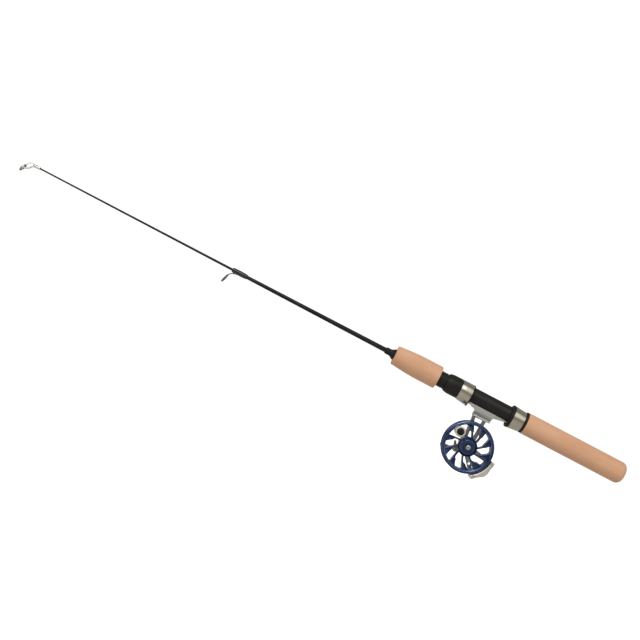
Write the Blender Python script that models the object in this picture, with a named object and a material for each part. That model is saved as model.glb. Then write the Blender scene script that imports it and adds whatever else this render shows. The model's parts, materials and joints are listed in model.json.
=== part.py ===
"""Telescopic ice fishing rod with an open-frame hand reel.

The rod lies along X with its tip toward -X, and the reel hangs below it toward -Z.
The origin is the centre of the butt's flat end. The spool turns about an axis along Y.
Dimensions are in millimetres here; every mesh and location is scaled to metres by MM.
"""

import math

import bmesh
import bpy
from mathutils import Matrix, Vector

MM = 0.001
GAP = 0.3                      # clearance kept between pieces that touch
ROUND = 24                     # sides of a grip-sized turned piece
FINE = 12                      # sides of a thin tube, pin or screw
SPOOL_SIDES = 48

# Stations along the rod, from the butt (x = 0) toward the tip
GRIP_REAR_START = -106.0
RING_START = -108.1
SLEEVE_REAR_START = -118.9
FLANGE_START = -123.2
HOOD_REAR_EDGE = -164.0
HOOD_FRONT_EDGE = -175.9
NUT_FRONT = -190.2
THREAD_FRONT = -198.6
FOREGRIP_START = -199.0
FOREGRIP_END = -245.8
CHECK_END = -255.8
COLLAR_REAR = -404.6
COLLAR_FRONT = -420.3
TIP_TUBE_REAR = -627.3
TIP_TUBE_FRONT = -634.3

# Radii of the handle
GRIP_RADIUS = 10.6
FOREGRIP_RADIUS = 11.2
FOREGRIP_NOSE = 9.3
BARREL_RADIUS = 8.0
THREAD_RADIUS = 7.9
SEAT_BORE = 5.6
NUT_RADIUS = 9.6
SEAT_FLAT = -6.45              # flat under the barrel that the reel foot lies on
FOOT_HALF_WIDTH = 5.0
POCKET_HALF_WIDTH = 5.6
POCKET_FLOOR = -9.2

# Blank and telescoping tip
BLANK_REAR = -14.0
BLANK_RADIUS_REAR = 2.5
BLANK_RADIUS_CHECK = 2.35
BLANK_RADIUS_FRONT = 1.7
BLANK_BORE = 1.45
TIP_REAR = -396.0
TIP_RADIUS_REAR = 1.3
TIP_RADIUS_COLLAR = 1.2
TIP_RADIUS_FRONT = 0.75

# Line guides on the rod: centre of the ring, and its lean from upright
TIP_RING = ((-642.3, 0.0, -6.4), 24.0)
MID_RING = ((-423.2, 0.0, -10.4), 17.0)
TIP_RING_MAJOR = 4.2
TIP_WIRE = 0.36
MID_RING_MAJOR = 4.4
MID_WIRE = 0.42
INSERT_WALL = 0.62
INSERT_GAP = 0.22

# Reel
SPOOL_X = -144.0
SPOOL_Z = -45.4
SPOOL_RADIUS = 25.0
SPOOL_HALF_WIDTH = 7.0
RIM_INNER = 21.7
GROOVE_RADIUS = 22.9
HUB_RADIUS = 9.4
ROOT_START = 15.8              # radius where the thin spokes swell into the rim
PORT_COUNT = 10
PORT_PITCH = 360.0 / PORT_COUNT
SPOKE_HUB_ANGLE = 18.2
SPOKE_RIM_ANGLE = 38.5
KNOB_RADIUS_AT = 18.8          # distance of the knob from the spool axis
KNOB_ANGLE = 146.5
BALANCE_ANGLE = KNOB_ANGLE - 180.0
BALANCE_RADIUS_AT = 18.1
GEAR_TEETH = 20
GEAR_TIP = 8.5
GEAR_ROOT = 7.5
FRAME_FRONT = 8.6              # the frame plate lies behind the spool
FRAME_BACK = 11.4
PEDESTAL_BACK = 8.3
PEDESTAL_FRONT = -6.0
FRAME_SCREWS = {"front": -149.2, "rear": -139.8}
FRAME_SCREW_Z = -13.0
LEG_TOP_Z = -9.8

# Click lever, behind the frame
CLICK_PIVOT_ANGLE = 225.0
CLICK_PIVOT_AT = 11.2
CLICK_PIN_ANGLE = 187.0
CLICK_PIN_AT = 10.8
CLICK_PIN_RADIUS = 0.6
CLICK_TRAVEL = 20.0

# Line guide beside the rim
GUIDE_ANGLE = -31.0
GUIDE_INNER = 26.8
GUIDE_PEAK = 31.0
GUIDE_HALF_SPAN = 22.5
GUIDE_BOSS_AT = 27.7
GUIDE_BOSS_RADIUS = 2.2
GUIDE_FRONT = -7.5
GUIDE_BACK = FRAME_FRONT - GAP
GUIDE_ANGLES = {"upper": GUIDE_ANGLE + GUIDE_HALF_SPAN, "lower": GUIDE_ANGLE - GUIDE_HALF_SPAN}

# Colour, roughness and metallic value of each material
LOOKS = {
    "grip_foam": ((0.70, 0.42, 0.24), 0.9, 0.0),
    "black_plastic": ((0.02, 0.02, 0.02), 0.45, 0.0),
    "black_blank": ((0.012, 0.012, 0.014), 0.3, 0.0),
    "nickel": ((0.62, 0.58, 0.50), 0.28, 1.0),
    "guide_steel": ((0.30, 0.30, 0.31), 0.35, 1.0),
    "guide_ceramic": ((0.10, 0.10, 0.11), 0.25, 0.0),
    "blue_anodised": ((0.03, 0.06, 0.25), 0.3, 0.9),
    "cast_alloy": ((0.36, 0.37, 0.38), 0.5, 0.9),
    "steel": ((0.55, 0.55, 0.55), 0.25, 1.0),
    "brass": ((0.70, 0.52, 0.22), 0.3, 1.0),
    "rubber": ((0.015, 0.015, 0.015), 0.8, 0.0),
}

MATERIALS = {}


# ---------------------------------------------------------------- tools

def clear_scene():
    for old in list(bpy.data.objects):
        bpy.data.objects.remove(old)


def material(look):
    if look not in MATERIALS:
        colour, rough, metal = LOOKS[look]
        made = bpy.data.materials.new(look)
        made.use_nodes = True
        shader = made.node_tree.nodes["Principled BSDF"]
        shader.inputs["Base Color"].default_value = (*colour, 1.0)
        shader.inputs["Roughness"].default_value = rough
        shader.inputs["Metallic"].default_value = metal
        MATERIALS[look] = made
    return MATERIALS[look].copy()


def polar(radius, degrees, y=0.0):
    """A point around the spool axis; the angle is measured from +X toward +Z."""
    angle = math.radians(degrees)
    return Vector((SPOOL_X + radius * math.cos(angle), y, SPOOL_Z + radius * math.sin(angle)))


SPOOL_CENTRE = polar(0.0, 0.0)


def solid(name, shape, look, origin=(0.0, 0.0, 0.0), hidden=False):
    """Turns a bmesh in millimetres into an object whose origin is at the given point."""
    bmesh.ops.recalc_face_normals(shape, faces=shape.faces)
    if sum(face.calc_area() * face.calc_center_median().dot(face.normal) for face in shape.faces) < 0:
        bmesh.ops.reverse_faces(shape, faces=shape.faces)
    origin = Vector(origin)
    bmesh.ops.translate(shape, vec=-origin, verts=shape.verts)
    bmesh.ops.scale(shape, vec=(MM, MM, MM), verts=shape.verts)
    mesh = bpy.data.meshes.new(name)
    shape.to_mesh(mesh)
    shape.free()
    made = bpy.data.objects.new(name, mesh)
    made.location = origin * MM
    bpy.context.scene.collection.objects.link(made)
    if hidden:
        made.hide_render = True
        made.display_type = "WIRE"
        return made
    mesh.materials.append(material(look))
    mesh.shade_smooth()
    mesh.set_sharp_from_angle(angle=math.radians(32.0))
    return made


def combine(target, shape, operation, label):
    """Cuts a bmesh out of an object, or joins it on, with a Boolean modifier."""
    tool = solid(f"{operation.lower()}_{target.name}_{label}", shape, None, hidden=True)
    step = target.modifiers.new(label, "BOOLEAN")
    step.operation = operation
    step.object = tool
    step.solver = "EXACT"


def cut(target, shape, label):
    combine(target, shape, "DIFFERENCE", label)


def join(target, shape, label):
    combine(target, shape, "UNION", label)


def turned(outline, axis="X", centre=(0.0, 0.0, 0.0), sides=ROUND):
    """Revolves an outline of (along, radius) or (along, radius, drop) points about an axis.

    Points on the axis close the shape; an outline that never meets the axis is a ring.
    A drop moves that circle toward -Z, which makes skewed cones such as the hoods.
    """
    centre = Vector(centre)
    along_axis = Vector((1, 0, 0)) if axis == "X" else Vector((0, 1, 0))
    across = Vector((0, 1, 0)) if axis == "X" else Vector((1, 0, 0))
    up = Vector((0, 0, 1))
    shape = bmesh.new()
    circles = []
    for point in outline:
        along, radius = point[0], point[1]
        drop = point[2] if len(point) > 2 else 0.0
        base = centre + along_axis * along - up * drop
        if radius == 0.0:
            circles.append([shape.verts.new(base)])
            continue
        circle = []
        for step in range(sides):
            angle = 2.0 * math.pi * step / sides
            circle.append(shape.verts.new(base + (across * math.cos(angle) + up * math.sin(angle)) * radius))
        circles.append(circle)
    closed = len(circles[0]) > 1
    count = len(circles)
    for index in range(count if closed else count - 1):
        first = circles[index]
        second = circles[(index + 1) % count]
        for step in range(sides):
            after = (step + 1) % sides
            if len(first) == 1:
                shape.faces.new((first[0], second[after], second[step]))
            elif len(second) == 1:
                shape.faces.new((first[step], first[after], second[0]))
            else:
                shape.faces.new((first[step], first[after], second[after], second[step]))
    return shape


def cylinder(radius, start, end, axis="Y", centre=(0.0, 0.0, 0.0), sides=FINE):
    return turned([(start, 0.0), (start, radius), (end, radius), (end, 0.0)], axis, centre, sides)


def ring(inner, outer, start, end, axis="Y", centre=(0.0, 0.0, 0.0), sides=FINE):
    return turned([(start, inner), (start, outer), (end, outer), (end, inner)], axis, centre, sides)


def plate(outline, back, front):
    """Extrudes an outline of (x, z) points along Y."""
    shape = bmesh.new()
    near = [shape.verts.new((x, back, z)) for x, z in outline]
    far = [shape.verts.new((x, front, z)) for x, z in outline]
    shape.faces.new(near)
    shape.faces.new(list(reversed(far)))
    for index in range(len(outline)):
        after = (index + 1) % len(outline)
        shape.faces.new((near[index], near[after], far[after], far[index]))
    return shape


def block(low, high):
    shape = plate([(low[0], low[2]), (high[0], low[2]), (high[0], high[2]), (low[0], high[2])], low[1], high[1])
    return shape


def cross_slot(centre, depth_start, depth_end, length, width):
    """Two bars in an X-Z cross, as a cutter for a screw's recess."""
    x, z = centre
    half, slim = length / 2.0, width / 2.0
    outline = [
        (x - half, z - slim), (x - slim, z - slim), (x - slim, z - half), (x + slim, z - half),
        (x + slim, z - slim), (x + half, z - slim), (x + half, z + slim), (x + slim, z + slim),
        (x + slim, z + half), (x - slim, z + half), (x - slim, z + slim), (x - half, z + slim),
    ]
    return plate(outline, depth_start, depth_end)


def smooth_path(points, steps):
    """Points along a Catmull-Rom curve through the given ones."""
    points = [Vector(p) for p in points]
    ends = [points[0] * 2 - points[1]] + points + [points[-1] * 2 - points[-2]]
    path = []
    for index in range(len(points) - 1):
        a, b, c, d = ends[index:index + 4]
        for step in range(steps):
            t = step / steps
            path.append(0.5 * (2 * b + (c - a) * t + (2 * a - 5 * b + 4 * c - d) * t * t
                               + (3 * b - a - 3 * c + d) * t ** 3))
    path.append(points[-1])
    return path


def wire(path, radius, sides=10, closed=False):
    """A round wire along a path; its side direction starts along Y."""
    shape = bmesh.new()
    count = len(path)
    circles = []
    for index, point in enumerate(path):
        before = path[index - 1] if closed or index else path[index]
        after = path[(index + 1) % count] if closed or index < count - 1 else path[index]
        ahead = (after - before).normalized()
        side = Vector((0, 1, 0))
        if abs(side.dot(ahead)) > 0.8 or closed:
            side = Vector(path_normal(path))
        side = (side - ahead * side.dot(ahead)).normalized()
        lift = ahead.cross(side)
        circle = []
        for step in range(sides):
            angle = 2.0 * math.pi * step / sides
            circle.append(shape.verts.new(point + (side * math.cos(angle) + lift * math.sin(angle)) * radius))
        circles.append(circle)
    for index in range(count if closed else count - 1):
        first = circles[index]
        second = circles[(index + 1) % count]
        for step in range(sides):
            after = (step + 1) % sides
            shape.faces.new((first[step], first[after], second[after], second[step]))
    if not closed:
        shape.faces.new(circles[0])
        shape.faces.new(list(reversed(circles[-1])))
    return shape


def path_normal(path):
    third = len(path) // 3
    return (path[third] - path[0]).cross(path[2 * third] - path[0]).normalized()


def leaning(shape, centre, lean):
    """Leans a ring made about X so that its lower side swings toward the tip."""
    turn = Matrix.Rotation(math.radians(lean), 4, "Y")
    bmesh.ops.rotate(shape, cent=Vector((0, 0, 0)), matrix=turn, verts=shape.verts)
    bmesh.ops.translate(shape, vec=Vector(centre), verts=shape.verts)
    return shape


def circle_path(radius, sides):
    """Points of a circle about X, centred on the origin."""
    steps = [2.0 * math.pi * step / sides for step in range(sides)]
    return [Vector((0.0, radius * math.cos(angle), radius * math.sin(angle))) for angle in steps]


# ---------------------------------------------------------------- rod

def blank_radius(x):
    """Outer radius of the main blank: a straight taper ahead of the handle."""
    if x > CHECK_END:
        share = (x - CHECK_END) / (BLANK_REAR - CHECK_END)
        return BLANK_RADIUS_CHECK + share * (BLANK_RADIUS_REAR - BLANK_RADIUS_CHECK)
    share = (x - COLLAR_FRONT) / (CHECK_END - COLLAR_FRONT)
    return BLANK_RADIUS_FRONT + share * (BLANK_RADIUS_CHECK - BLANK_RADIUS_FRONT)


def make_blank():
    front = COLLAR_FRONT + 0.6
    stations = [front, -340.0, CHECK_END, BLANK_REAR]
    outline = [(x, blank_radius(x)) for x in stations]
    outline += [(BLANK_REAR, BLANK_BORE), (front, BLANK_BORE)]
    solid("main_blank", turned(outline, sides=FINE), "black_blank")


def make_tip():
    origin = (COLLAR_FRONT, 0.0, 0.0)
    front = TIP_TUBE_FRONT + 0.8
    outline = [
        (front, 0.0), (front, TIP_RADIUS_FRONT), (COLLAR_FRONT, TIP_RADIUS_COLLAR),
        (TIP_REAR, TIP_RADIUS_REAR), (TIP_REAR, 0.0),
    ]
    solid("tip_section", turned(outline, sides=FINE), "black_blank", origin)

    bore = TIP_RADIUS_FRONT + 0.25
    tube = [
        (TIP_TUBE_REAR, bore), (TIP_TUBE_REAR, bore + 0.25), (TIP_TUBE_REAR - 0.6, bore + 0.4),
        (TIP_TUBE_FRONT, bore + 0.4), (TIP_TUBE_FRONT, bore),
    ]
    frame = solid("tip_top_frame", turned(tube, sides=FINE), "nickel", origin)
    centre, lean = TIP_RING
    holder = leaning(wire(circle_path(TIP_RING_MAJOR, 20), TIP_WIRE, 6, closed=True), centre, lean)
    join(frame, holder, "ring")
    crest = [
        (TIP_TUBE_REAR - 3.0, 0.0, 1.25), (TIP_TUBE_FRONT - 0.6, 0.0, 1.2), (TIP_TUBE_FRONT - 4.4, 0.0, 0.2),
        ring_point(centre, lean, TIP_RING_MAJOR + 0.25, 90),
    ]
    join(frame, wire(smooth_path(crest, 3), TIP_WIRE, 6), "crest")
    for name, side in (("left", -1), ("right", 1)):
        brace = [
            (TIP_TUBE_REAR - 3.4, side * 0.5, -1.1), (TIP_TUBE_FRONT + 0.4, side * 0.8, -1.5),
            (TIP_TUBE_FRONT - 2.2, side * 2.7, -3.6), (TIP_TUBE_FRONT - 4.9, side * 4.1, -5.8),
            ring_point(centre, lean, TIP_RING_MAJOR + 0.1, 90 - side * 85),
        ]
        join(frame, wire(smooth_path(brace, 3), TIP_WIRE, 6), f"brace_{name}")
    insert = leaning(ring_insert(TIP_RING_MAJOR - TIP_WIRE - INSERT_GAP), centre, lean)
    solid("tip_guide_insert", insert, "guide_ceramic", origin)


def ring_point(centre, lean, radius, degrees):
    """A point on a leaning ring; 90 degrees is its top."""
    angle = math.radians(degrees)
    point = Vector((0.0, radius * math.cos(angle), radius * math.sin(angle)))
    point.rotate(Matrix.Rotation(math.radians(lean), 3, "Y"))
    return point + Vector(centre)


def ring_insert(outer):
    """A smooth ceramic ring about X."""
    inner = outer - INSERT_WALL
    outline = [
        (-0.8, outer), (-0.8, outer - 0.2), (-0.45, inner), (0.45, inner), (0.8, outer - 0.2), (0.8, outer),
    ]
    return turned(outline, sides=20)


def make_mid_guide():
    bore = BLANK_RADIUS_FRONT + GAP
    collar = [
        (COLLAR_FRONT, bore), (COLLAR_FRONT, bore + 0.05), (COLLAR_FRONT + 3.4, 2.5), (COLLAR_FRONT + 9.0, 2.55),
        (COLLAR_REAR - 0.8, 2.2), (COLLAR_REAR, bore + 0.15), (COLLAR_REAR, bore),
    ]
    solid("mid_collar", turned(collar, sides=FINE), "black_blank")
    centre, lean = MID_RING
    foot = [
        (COLLAR_FRONT + 9.5, 0.0, -3.3), (COLLAR_FRONT + 3.6, 0.0, -3.25), (COLLAR_FRONT + 0.6, 0.0, -4.0),
        (COLLAR_FRONT - 0.8, 0.0, -5.2), ring_point(centre, lean, MID_RING_MAJOR + 0.2, 90),
    ]
    frame = solid("mid_guide_frame", wire(smooth_path(foot, 3), MID_WIRE, 6), "guide_steel")
    holder = leaning(wire(circle_path(MID_RING_MAJOR, 20), MID_WIRE, 6, closed=True), centre, lean)
    join(frame, holder, "ring")
    insert = leaning(ring_insert(MID_RING_MAJOR - MID_WIRE - INSERT_GAP), centre, lean)
    solid("mid_guide_insert", insert, "guide_ceramic")


def make_grips():
    bore = BLANK_RADIUS_REAR + GAP
    plug = 4.2
    dome = []
    corner = 6.0
    for step in range(5):
        angle = math.radians(90.0 - step * 18.0)
        dome.append((-corner + corner * math.cos(angle), GRIP_RADIUS - corner + corner * math.sin(angle)))
    rear = [(GRIP_REAR_START, bore), (GRIP_REAR_START, GRIP_RADIUS - 0.4), (GRIP_REAR_START + 0.4, GRIP_RADIUS)]
    rear += dome + [(0.0, plug + GAP), (-10.0, plug + GAP), (-10.0, bore)]
    solid("rear_grip", turned(rear), "grip_foam")
    outline = [(0.0, 0.0), (0.0, plug), (-9.7, plug), (-9.7, 0.0)]
    solid("butt_plug", turned(outline), "rubber")

    nose = [(FOREGRIP_END, bore), (FOREGRIP_END, FOREGRIP_NOSE - 0.5), (FOREGRIP_END + 0.5, FOREGRIP_NOSE)]
    taper = 30.0
    for step in range(1, 6):
        share = step / 5.0
        swell = math.sin(share * math.pi / 2.0)
        nose.append((FOREGRIP_END + taper * share, FOREGRIP_NOSE + swell * (FOREGRIP_RADIUS - FOREGRIP_NOSE)))
    nose += [(FOREGRIP_START - 0.5, FOREGRIP_RADIUS), (FOREGRIP_START, FOREGRIP_RADIUS - 0.5), (FOREGRIP_START, bore)]
    solid("foregrip", turned(nose), "grip_foam")

    check = [
        (FOREGRIP_END - GAP, bore - 0.1), (FOREGRIP_END - GAP, 5.2), (FOREGRIP_END - GAP - 0.5, 5.2),
        (FOREGRIP_END - 4.2, 3.35), (FOREGRIP_END - 8.6, 3.3), (CHECK_END, 2.85), (CHECK_END, bore - 0.1),
    ]
    solid("winding_check", turned(check, sides=24), "black_plastic")
    trim = [
        (RING_START, bore), (RING_START, GRIP_RADIUS - 0.15), (GRIP_REAR_START - GAP, GRIP_RADIUS - 0.15),
        (GRIP_REAR_START - GAP, bore),
    ]
    solid("grip_ring", turned(trim), "black_plastic")


# ---------------------------------------------------------------- reel seat

def make_seat():
    """Moulded barrel: thread at the front, saddle flat below, cup for the foot's rear tongue."""
    end = RING_START - GAP
    body = [
        (THREAD_FRONT, SEAT_BORE), (THREAD_FRONT, THREAD_RADIUS - 0.4), (THREAD_FRONT + 0.5, THREAD_RADIUS),
        (HOOD_REAR_EDGE - 2.0, THREAD_RADIUS), (HOOD_REAR_EDGE - 1.5, BARREL_RADIUS),
        (FLANGE_START - 1.2, BARREL_RADIUS), (FLANGE_START, 10.6, 0.5), (FLANGE_START + 0.8, 11.1, 0.7),
        (SLEEVE_REAR_START - 0.3, 11.1, 0.7), (SLEEVE_REAR_START - 0.2, 9.3, 1.1), (end, 8.55, 0.35),
        (end, SEAT_BORE),
    ]
    seat = solid("seat_body", turned(body), "black_plastic")
    saddle = block((HOOD_REAR_EDGE - 9.0, -12.0, -14.0), (FLANGE_START, 12.0, SEAT_FLAT))
    cut(seat, saddle, "saddle")
    pocket = block((FLANGE_START - 2.0, -POCKET_HALF_WIDTH, POCKET_FLOOR), (-111.2, POCKET_HALF_WIDTH, SEAT_FLAT))
    cut(seat, pocket, "pocket")

    inner = 0.25
    sleeve = [
        (SLEEVE_REAR_START, 9.3 + inner, 1.1), (SLEEVE_REAR_START, 10.5, 1.1), (RING_START - GAP, 9.75, 0.35),
        (RING_START - GAP, 8.55 + inner, 0.35),
    ]
    solid("rear_hood_sleeve", turned(sleeve), "nickel")

    for name, low, high in (("arbor_front", -190.0, -176.0), ("arbor_rear", -128.0, -112.0)):
        arbor = ring(blank_radius(low) + GAP, SEAT_BORE - 0.2, low, high, "X", sides=24)
        solid(name, arbor, "rubber")


def make_front_hood():
    origin = (HOOD_REAR_EDGE, 0.0, 0.0)
    sleeve = [
        (HOOD_FRONT_EDGE, 9.05, 0.15), (HOOD_FRONT_EDGE, 9.75, 0.15), (HOOD_REAR_EDGE - 0.5, 10.5, 0.9),
        (HOOD_REAR_EDGE - 0.5, 9.85, 0.9),
    ]
    solid("front_hood_sleeve", turned(sleeve), "nickel", origin)
    liner = [
        (HOOD_FRONT_EDGE + 0.5, THREAD_RADIUS + GAP), (HOOD_FRONT_EDGE + 0.5, 8.8, 0.15),
        (HOOD_REAR_EDGE - 0.75, 9.6, 0.9), (HOOD_REAR_EDGE - 0.2, 9.6, 0.9), (HOOD_REAR_EDGE - 0.2, 10.6, 0.95),
        (HOOD_REAR_EDGE + 0.4, 10.5, 0.95), (HOOD_REAR_EDGE + 0.4, BARREL_RADIUS + GAP),
        (HOOD_REAR_EDGE - 2.6, BARREL_RADIUS + GAP),
    ]
    made = solid("front_hood_liner", turned(liner), "black_plastic", origin)
    pocket = block((-171.8, -POCKET_HALF_WIDTH, POCKET_FLOOR), (HOOD_REAR_EDGE + 3.0, POCKET_HALF_WIDTH, -5.0))
    cut(made, pocket, "pocket")

    nut = [
        (NUT_FRONT, THREAD_RADIUS + GAP), (NUT_FRONT, 8.7), (NUT_FRONT + 4.4, NUT_RADIUS),
        (HOOD_FRONT_EDGE - 0.8, NUT_RADIUS), (HOOD_FRONT_EDGE - GAP, NUT_RADIUS - 0.4),
        (HOOD_FRONT_EDGE - GAP, THREAD_RADIUS + GAP),
    ]
    solid("lock_nut", turned(nut), "black_plastic", (HOOD_FRONT_EDGE, 0.0, 0.0))


# ---------------------------------------------------------------- reel frame

def make_foot():
    """Cast foot: a flat plate with tapered ends, and a pedestal that carries the frame."""
    top = SEAT_FLAT - GAP
    side = [
        (-171.2, top), (-171.2, top - 1.1), (-163.0, top - 1.5), (-153.6, -10.5), (-153.0, -11.0),
        (-153.0, -16.1), (-137.4, -16.1), (-136.0, -11.0), (-135.0, -10.5), (-124.0, top - 1.7),
        (-112.0, top - 1.2), (-112.0, top),
    ]
    foot = solid("reel_foot", plate(side, -FOOT_HALF_WIDTH, FOOT_HALF_WIDTH), "cast_alloy")
    pedestal = [(-153.1, -11.3), (-153.1, -16.2), (-137.3, -16.2), (-135.9, -11.3)]
    join(foot, plate(pedestal, PEDESTAL_FRONT, PEDESTAL_BACK), "pedestal")
    lip = [(-153.6, -13.7), (-153.6, -15.9), (-153.1, -16.4), (-137.2, -16.4), (-136.6, -15.9), (-136.2, -13.7)]
    join(foot, plate(lip, PEDESTAL_FRONT - 0.5, PEDESTAL_BACK - 0.5), "lip")
    for name, x in FRAME_SCREWS.items():
        cut(foot, cylinder(1.15, 1.0, PEDESTAL_BACK + 2.0, centre=(x, 0.0, FRAME_SCREW_Z)), f"hole_{name}")


def bar(start, end, half_start, half_end):
    """The (x, z) outline of a tapered straight bar between two points."""
    start, end = Vector((start[0], start[1])), Vector((end[0], end[1]))
    along = (end - start).normalized()
    across = Vector((-along.y, along.x))
    corners = [start + across * half_start, start - across * half_start, end - across * half_end,
               end + across * half_end]
    return [(corner.x, corner.y) for corner in corners]


def flat(point):
    return (point.x, point.z)


def layer(inset):
    """Back and front of one layer of the frame plate, thinner than the hub disc by the inset."""
    return FRAME_FRONT + inset, FRAME_BACK - inset


def make_frame():
    """Plate behind the spool: hub disc, two legs, two guide arms, and an ear for the click lever."""
    disc = cylinder(9.3, FRAME_FRONT, FRAME_BACK, centre=SPOOL_CENTRE, sides=32)
    frame = solid("reel_frame", disc, "cast_alloy")
    yoke = [(-152.4, LEG_TOP_Z), (-152.4, -17.0), (-137.4, -17.0), (-137.4, LEG_TOP_Z)]
    join(frame, plate(yoke, *layer(0.1)), "yoke")
    join(frame, plate(bar((-150.4, -15.5), (-148.3, -43.0), 1.9, 1.9), *layer(0.2)), "leg_front")
    join(frame, plate(bar((-139.4, -15.5), (-140.4, -43.0), 1.9, 1.9), *layer(0.2)), "leg_rear")
    for name, angle in GUIDE_ANGLES.items():
        reach = bar(flat(polar(4.0, angle)), flat(polar(GUIDE_BOSS_AT, angle)), 3.2, 1.7)
        join(frame, plate(reach, *layer(0.3)), f"arm_{name}")
        boss = cylinder(2.6, *layer(0.05), centre=polar(GUIDE_BOSS_AT, angle), sides=16)
        join(frame, boss, f"boss_{name}")
    ear = bar(flat(polar(5.0, CLICK_PIVOT_ANGLE)), flat(polar(CLICK_PIVOT_AT, CLICK_PIVOT_ANGLE)), 3.0, 2.2)
    join(frame, plate(ear, *layer(0.25)), "ear")
    ear_end = cylinder(2.4, *layer(0.15), centre=polar(CLICK_PIVOT_AT, CLICK_PIVOT_ANGLE), sides=16)
    join(frame, ear_end, "ear_end")

    through = (FRAME_FRONT - 3.0, FRAME_BACK + 3.0)
    cut(frame, cylinder(1.95, *through, centre=SPOOL_CENTRE), "spindle_hole")
    notch = plate(bar(flat(polar(6.4, CLICK_PIN_ANGLE - 2.0)), flat(polar(12.5, CLICK_PIN_ANGLE - 2.0)), 1.7, 1.7),
                  *through)
    cut(frame, notch, "pawl_notch")
    cut(frame, cylinder(1.2, *through, centre=polar(CLICK_PIVOT_AT, CLICK_PIVOT_ANGLE)), "pivot_hole")
    cut(frame, cylinder(1.2, *through, centre=polar(17.4, GUIDE_ANGLES["lower"])), "arm_hole")
    for name, angle in GUIDE_ANGLES.items():
        cut(frame, cylinder(1.05, *through, centre=polar(GUIDE_BOSS_AT, angle)), f"guide_hole_{name}")
    for name, x in FRAME_SCREWS.items():
        cut(frame, cylinder(1.15, *through, centre=(x, 0.0, FRAME_SCREW_Z)), f"foot_hole_{name}")

    for name, x in FRAME_SCREWS.items():
        screw = [
            (2.5, 0.0), (2.5, 0.85), (FRAME_BACK + 0.2, 0.85), (FRAME_BACK + 0.2, 1.9), (FRAME_BACK + 1.2, 1.7),
            (FRAME_BACK + 1.6, 1.0), (FRAME_BACK + 1.6, 0.0),
        ]
        solid(f"frame_screw_{name}", turned(screw, "Y", (x, 0.0, FRAME_SCREW_Z), FINE), "steel")


def guide_lobe(angle, outward):
    """Round end of the guide; outward is +1 at the upper end and -1 at the lower end."""
    lobe = []
    for step in range(9):
        turn = math.radians(246.0 - 39.0 * step)
        swing = math.degrees(GUIDE_BOSS_RADIUS * math.sin(turn) / GUIDE_BOSS_AT)
        lobe.append(flat(polar(GUIDE_BOSS_AT + GUIDE_BOSS_RADIUS * math.cos(turn), angle + outward * swing)))
    return lobe


def make_line_guide():
    """Curved bridge over the rim, with a round lobe at each end and a ringed window in its middle."""
    inside, outside = [], []
    for step in range(6):
        share = step / 2.5 - 1.0
        angle = GUIDE_ANGLE + 0.82 * share * GUIDE_HALF_SPAN
        inside.append(flat(polar(GUIDE_INNER, angle)))
        swell = (1.0 - 0.82 * abs(share)) ** 1.15
        outside.append(flat(polar(28.6 + swell * (GUIDE_PEAK - 28.6), angle)))
    outline = inside + guide_lobe(GUIDE_ANGLES["upper"], 1.0) + list(reversed(outside))
    outline += list(reversed(guide_lobe(GUIDE_ANGLES["lower"], -1.0)))
    bridge = solid("line_guide", plate(outline, GUIDE_FRONT, GUIDE_BACK), "cast_alloy")
    cut(bridge, radial(cylinder(3.3, 24.0, 34.0, "X", sides=18)), "window")
    for name, angle in GUIDE_ANGLES.items():
        screw = [
            (FRAME_FRONT + 0.1, 0.0), (FRAME_FRONT + 0.1, 0.8), (FRAME_BACK + 0.2, 0.8), (FRAME_BACK + 0.2, 1.6),
            (FRAME_BACK + 1.0, 1.4), (FRAME_BACK + 1.3, 0.8), (FRAME_BACK + 1.3, 0.0),
        ]
        # the tapped holes in the guide, and the screws' ends inside them, are not modelled
        solid(f"guide_screw_{name}", turned(screw, "Y", polar(GUIDE_BOSS_AT, angle), FINE), "steel")
    eyelet = [
        (GUIDE_INNER + 0.1, 2.45), (GUIDE_INNER + 0.1, 3.0), (GUIDE_PEAK + 0.3, 3.0), (GUIDE_PEAK + 0.3, 3.9),
        (GUIDE_PEAK + 0.9, 3.7), (GUIDE_PEAK + 1.2, 3.1), (GUIDE_PEAK + 0.9, 2.45),
    ]
    solid("line_guide_eyelet", radial(turned(eyelet, "X", sides=20)), "steel")


def radial(shape):
    """Moves a shape made about X so that it points out from the spool at the guide's angle."""
    turn = Matrix.Rotation(-math.radians(GUIDE_ANGLE), 4, "Y")
    bmesh.ops.rotate(shape, cent=Vector((0, 0, 0)), matrix=turn, verts=shape.verts)
    bmesh.ops.translate(shape, vec=SPOOL_CENTRE, verts=shape.verts)
    return shape


# ---------------------------------------------------------------- spool

def spoke_angle(radius):
    """Angle of a spoke's middle line, which leans forward as it nears the rim."""
    share = (radius - HUB_RADIUS) / (RIM_INNER - HUB_RADIUS)
    return SPOKE_HUB_ANGLE + share * (SPOKE_RIM_ANGLE - SPOKE_HUB_ANGLE)


def trailing_half(radius):
    """Half width of a spoke on its trailing side, in millimetres."""
    swell = max(0.0, (radius - 13.0) / (RIM_INNER - 13.0))
    return 0.75 + 2.6 * swell ** 1.4


def leading_half(radius):
    """Half width on the leading side: slim, then a step where the spoke's root begins."""
    if radius < ROOT_START - 0.9:
        return 0.75
    if radius < ROOT_START:
        return 0.75 + 1.25 * (radius - ROOT_START + 0.9) / 0.9
    return 2.0 + 1.2 * (radius - ROOT_START) / (RIM_INNER - ROOT_START)


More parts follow.
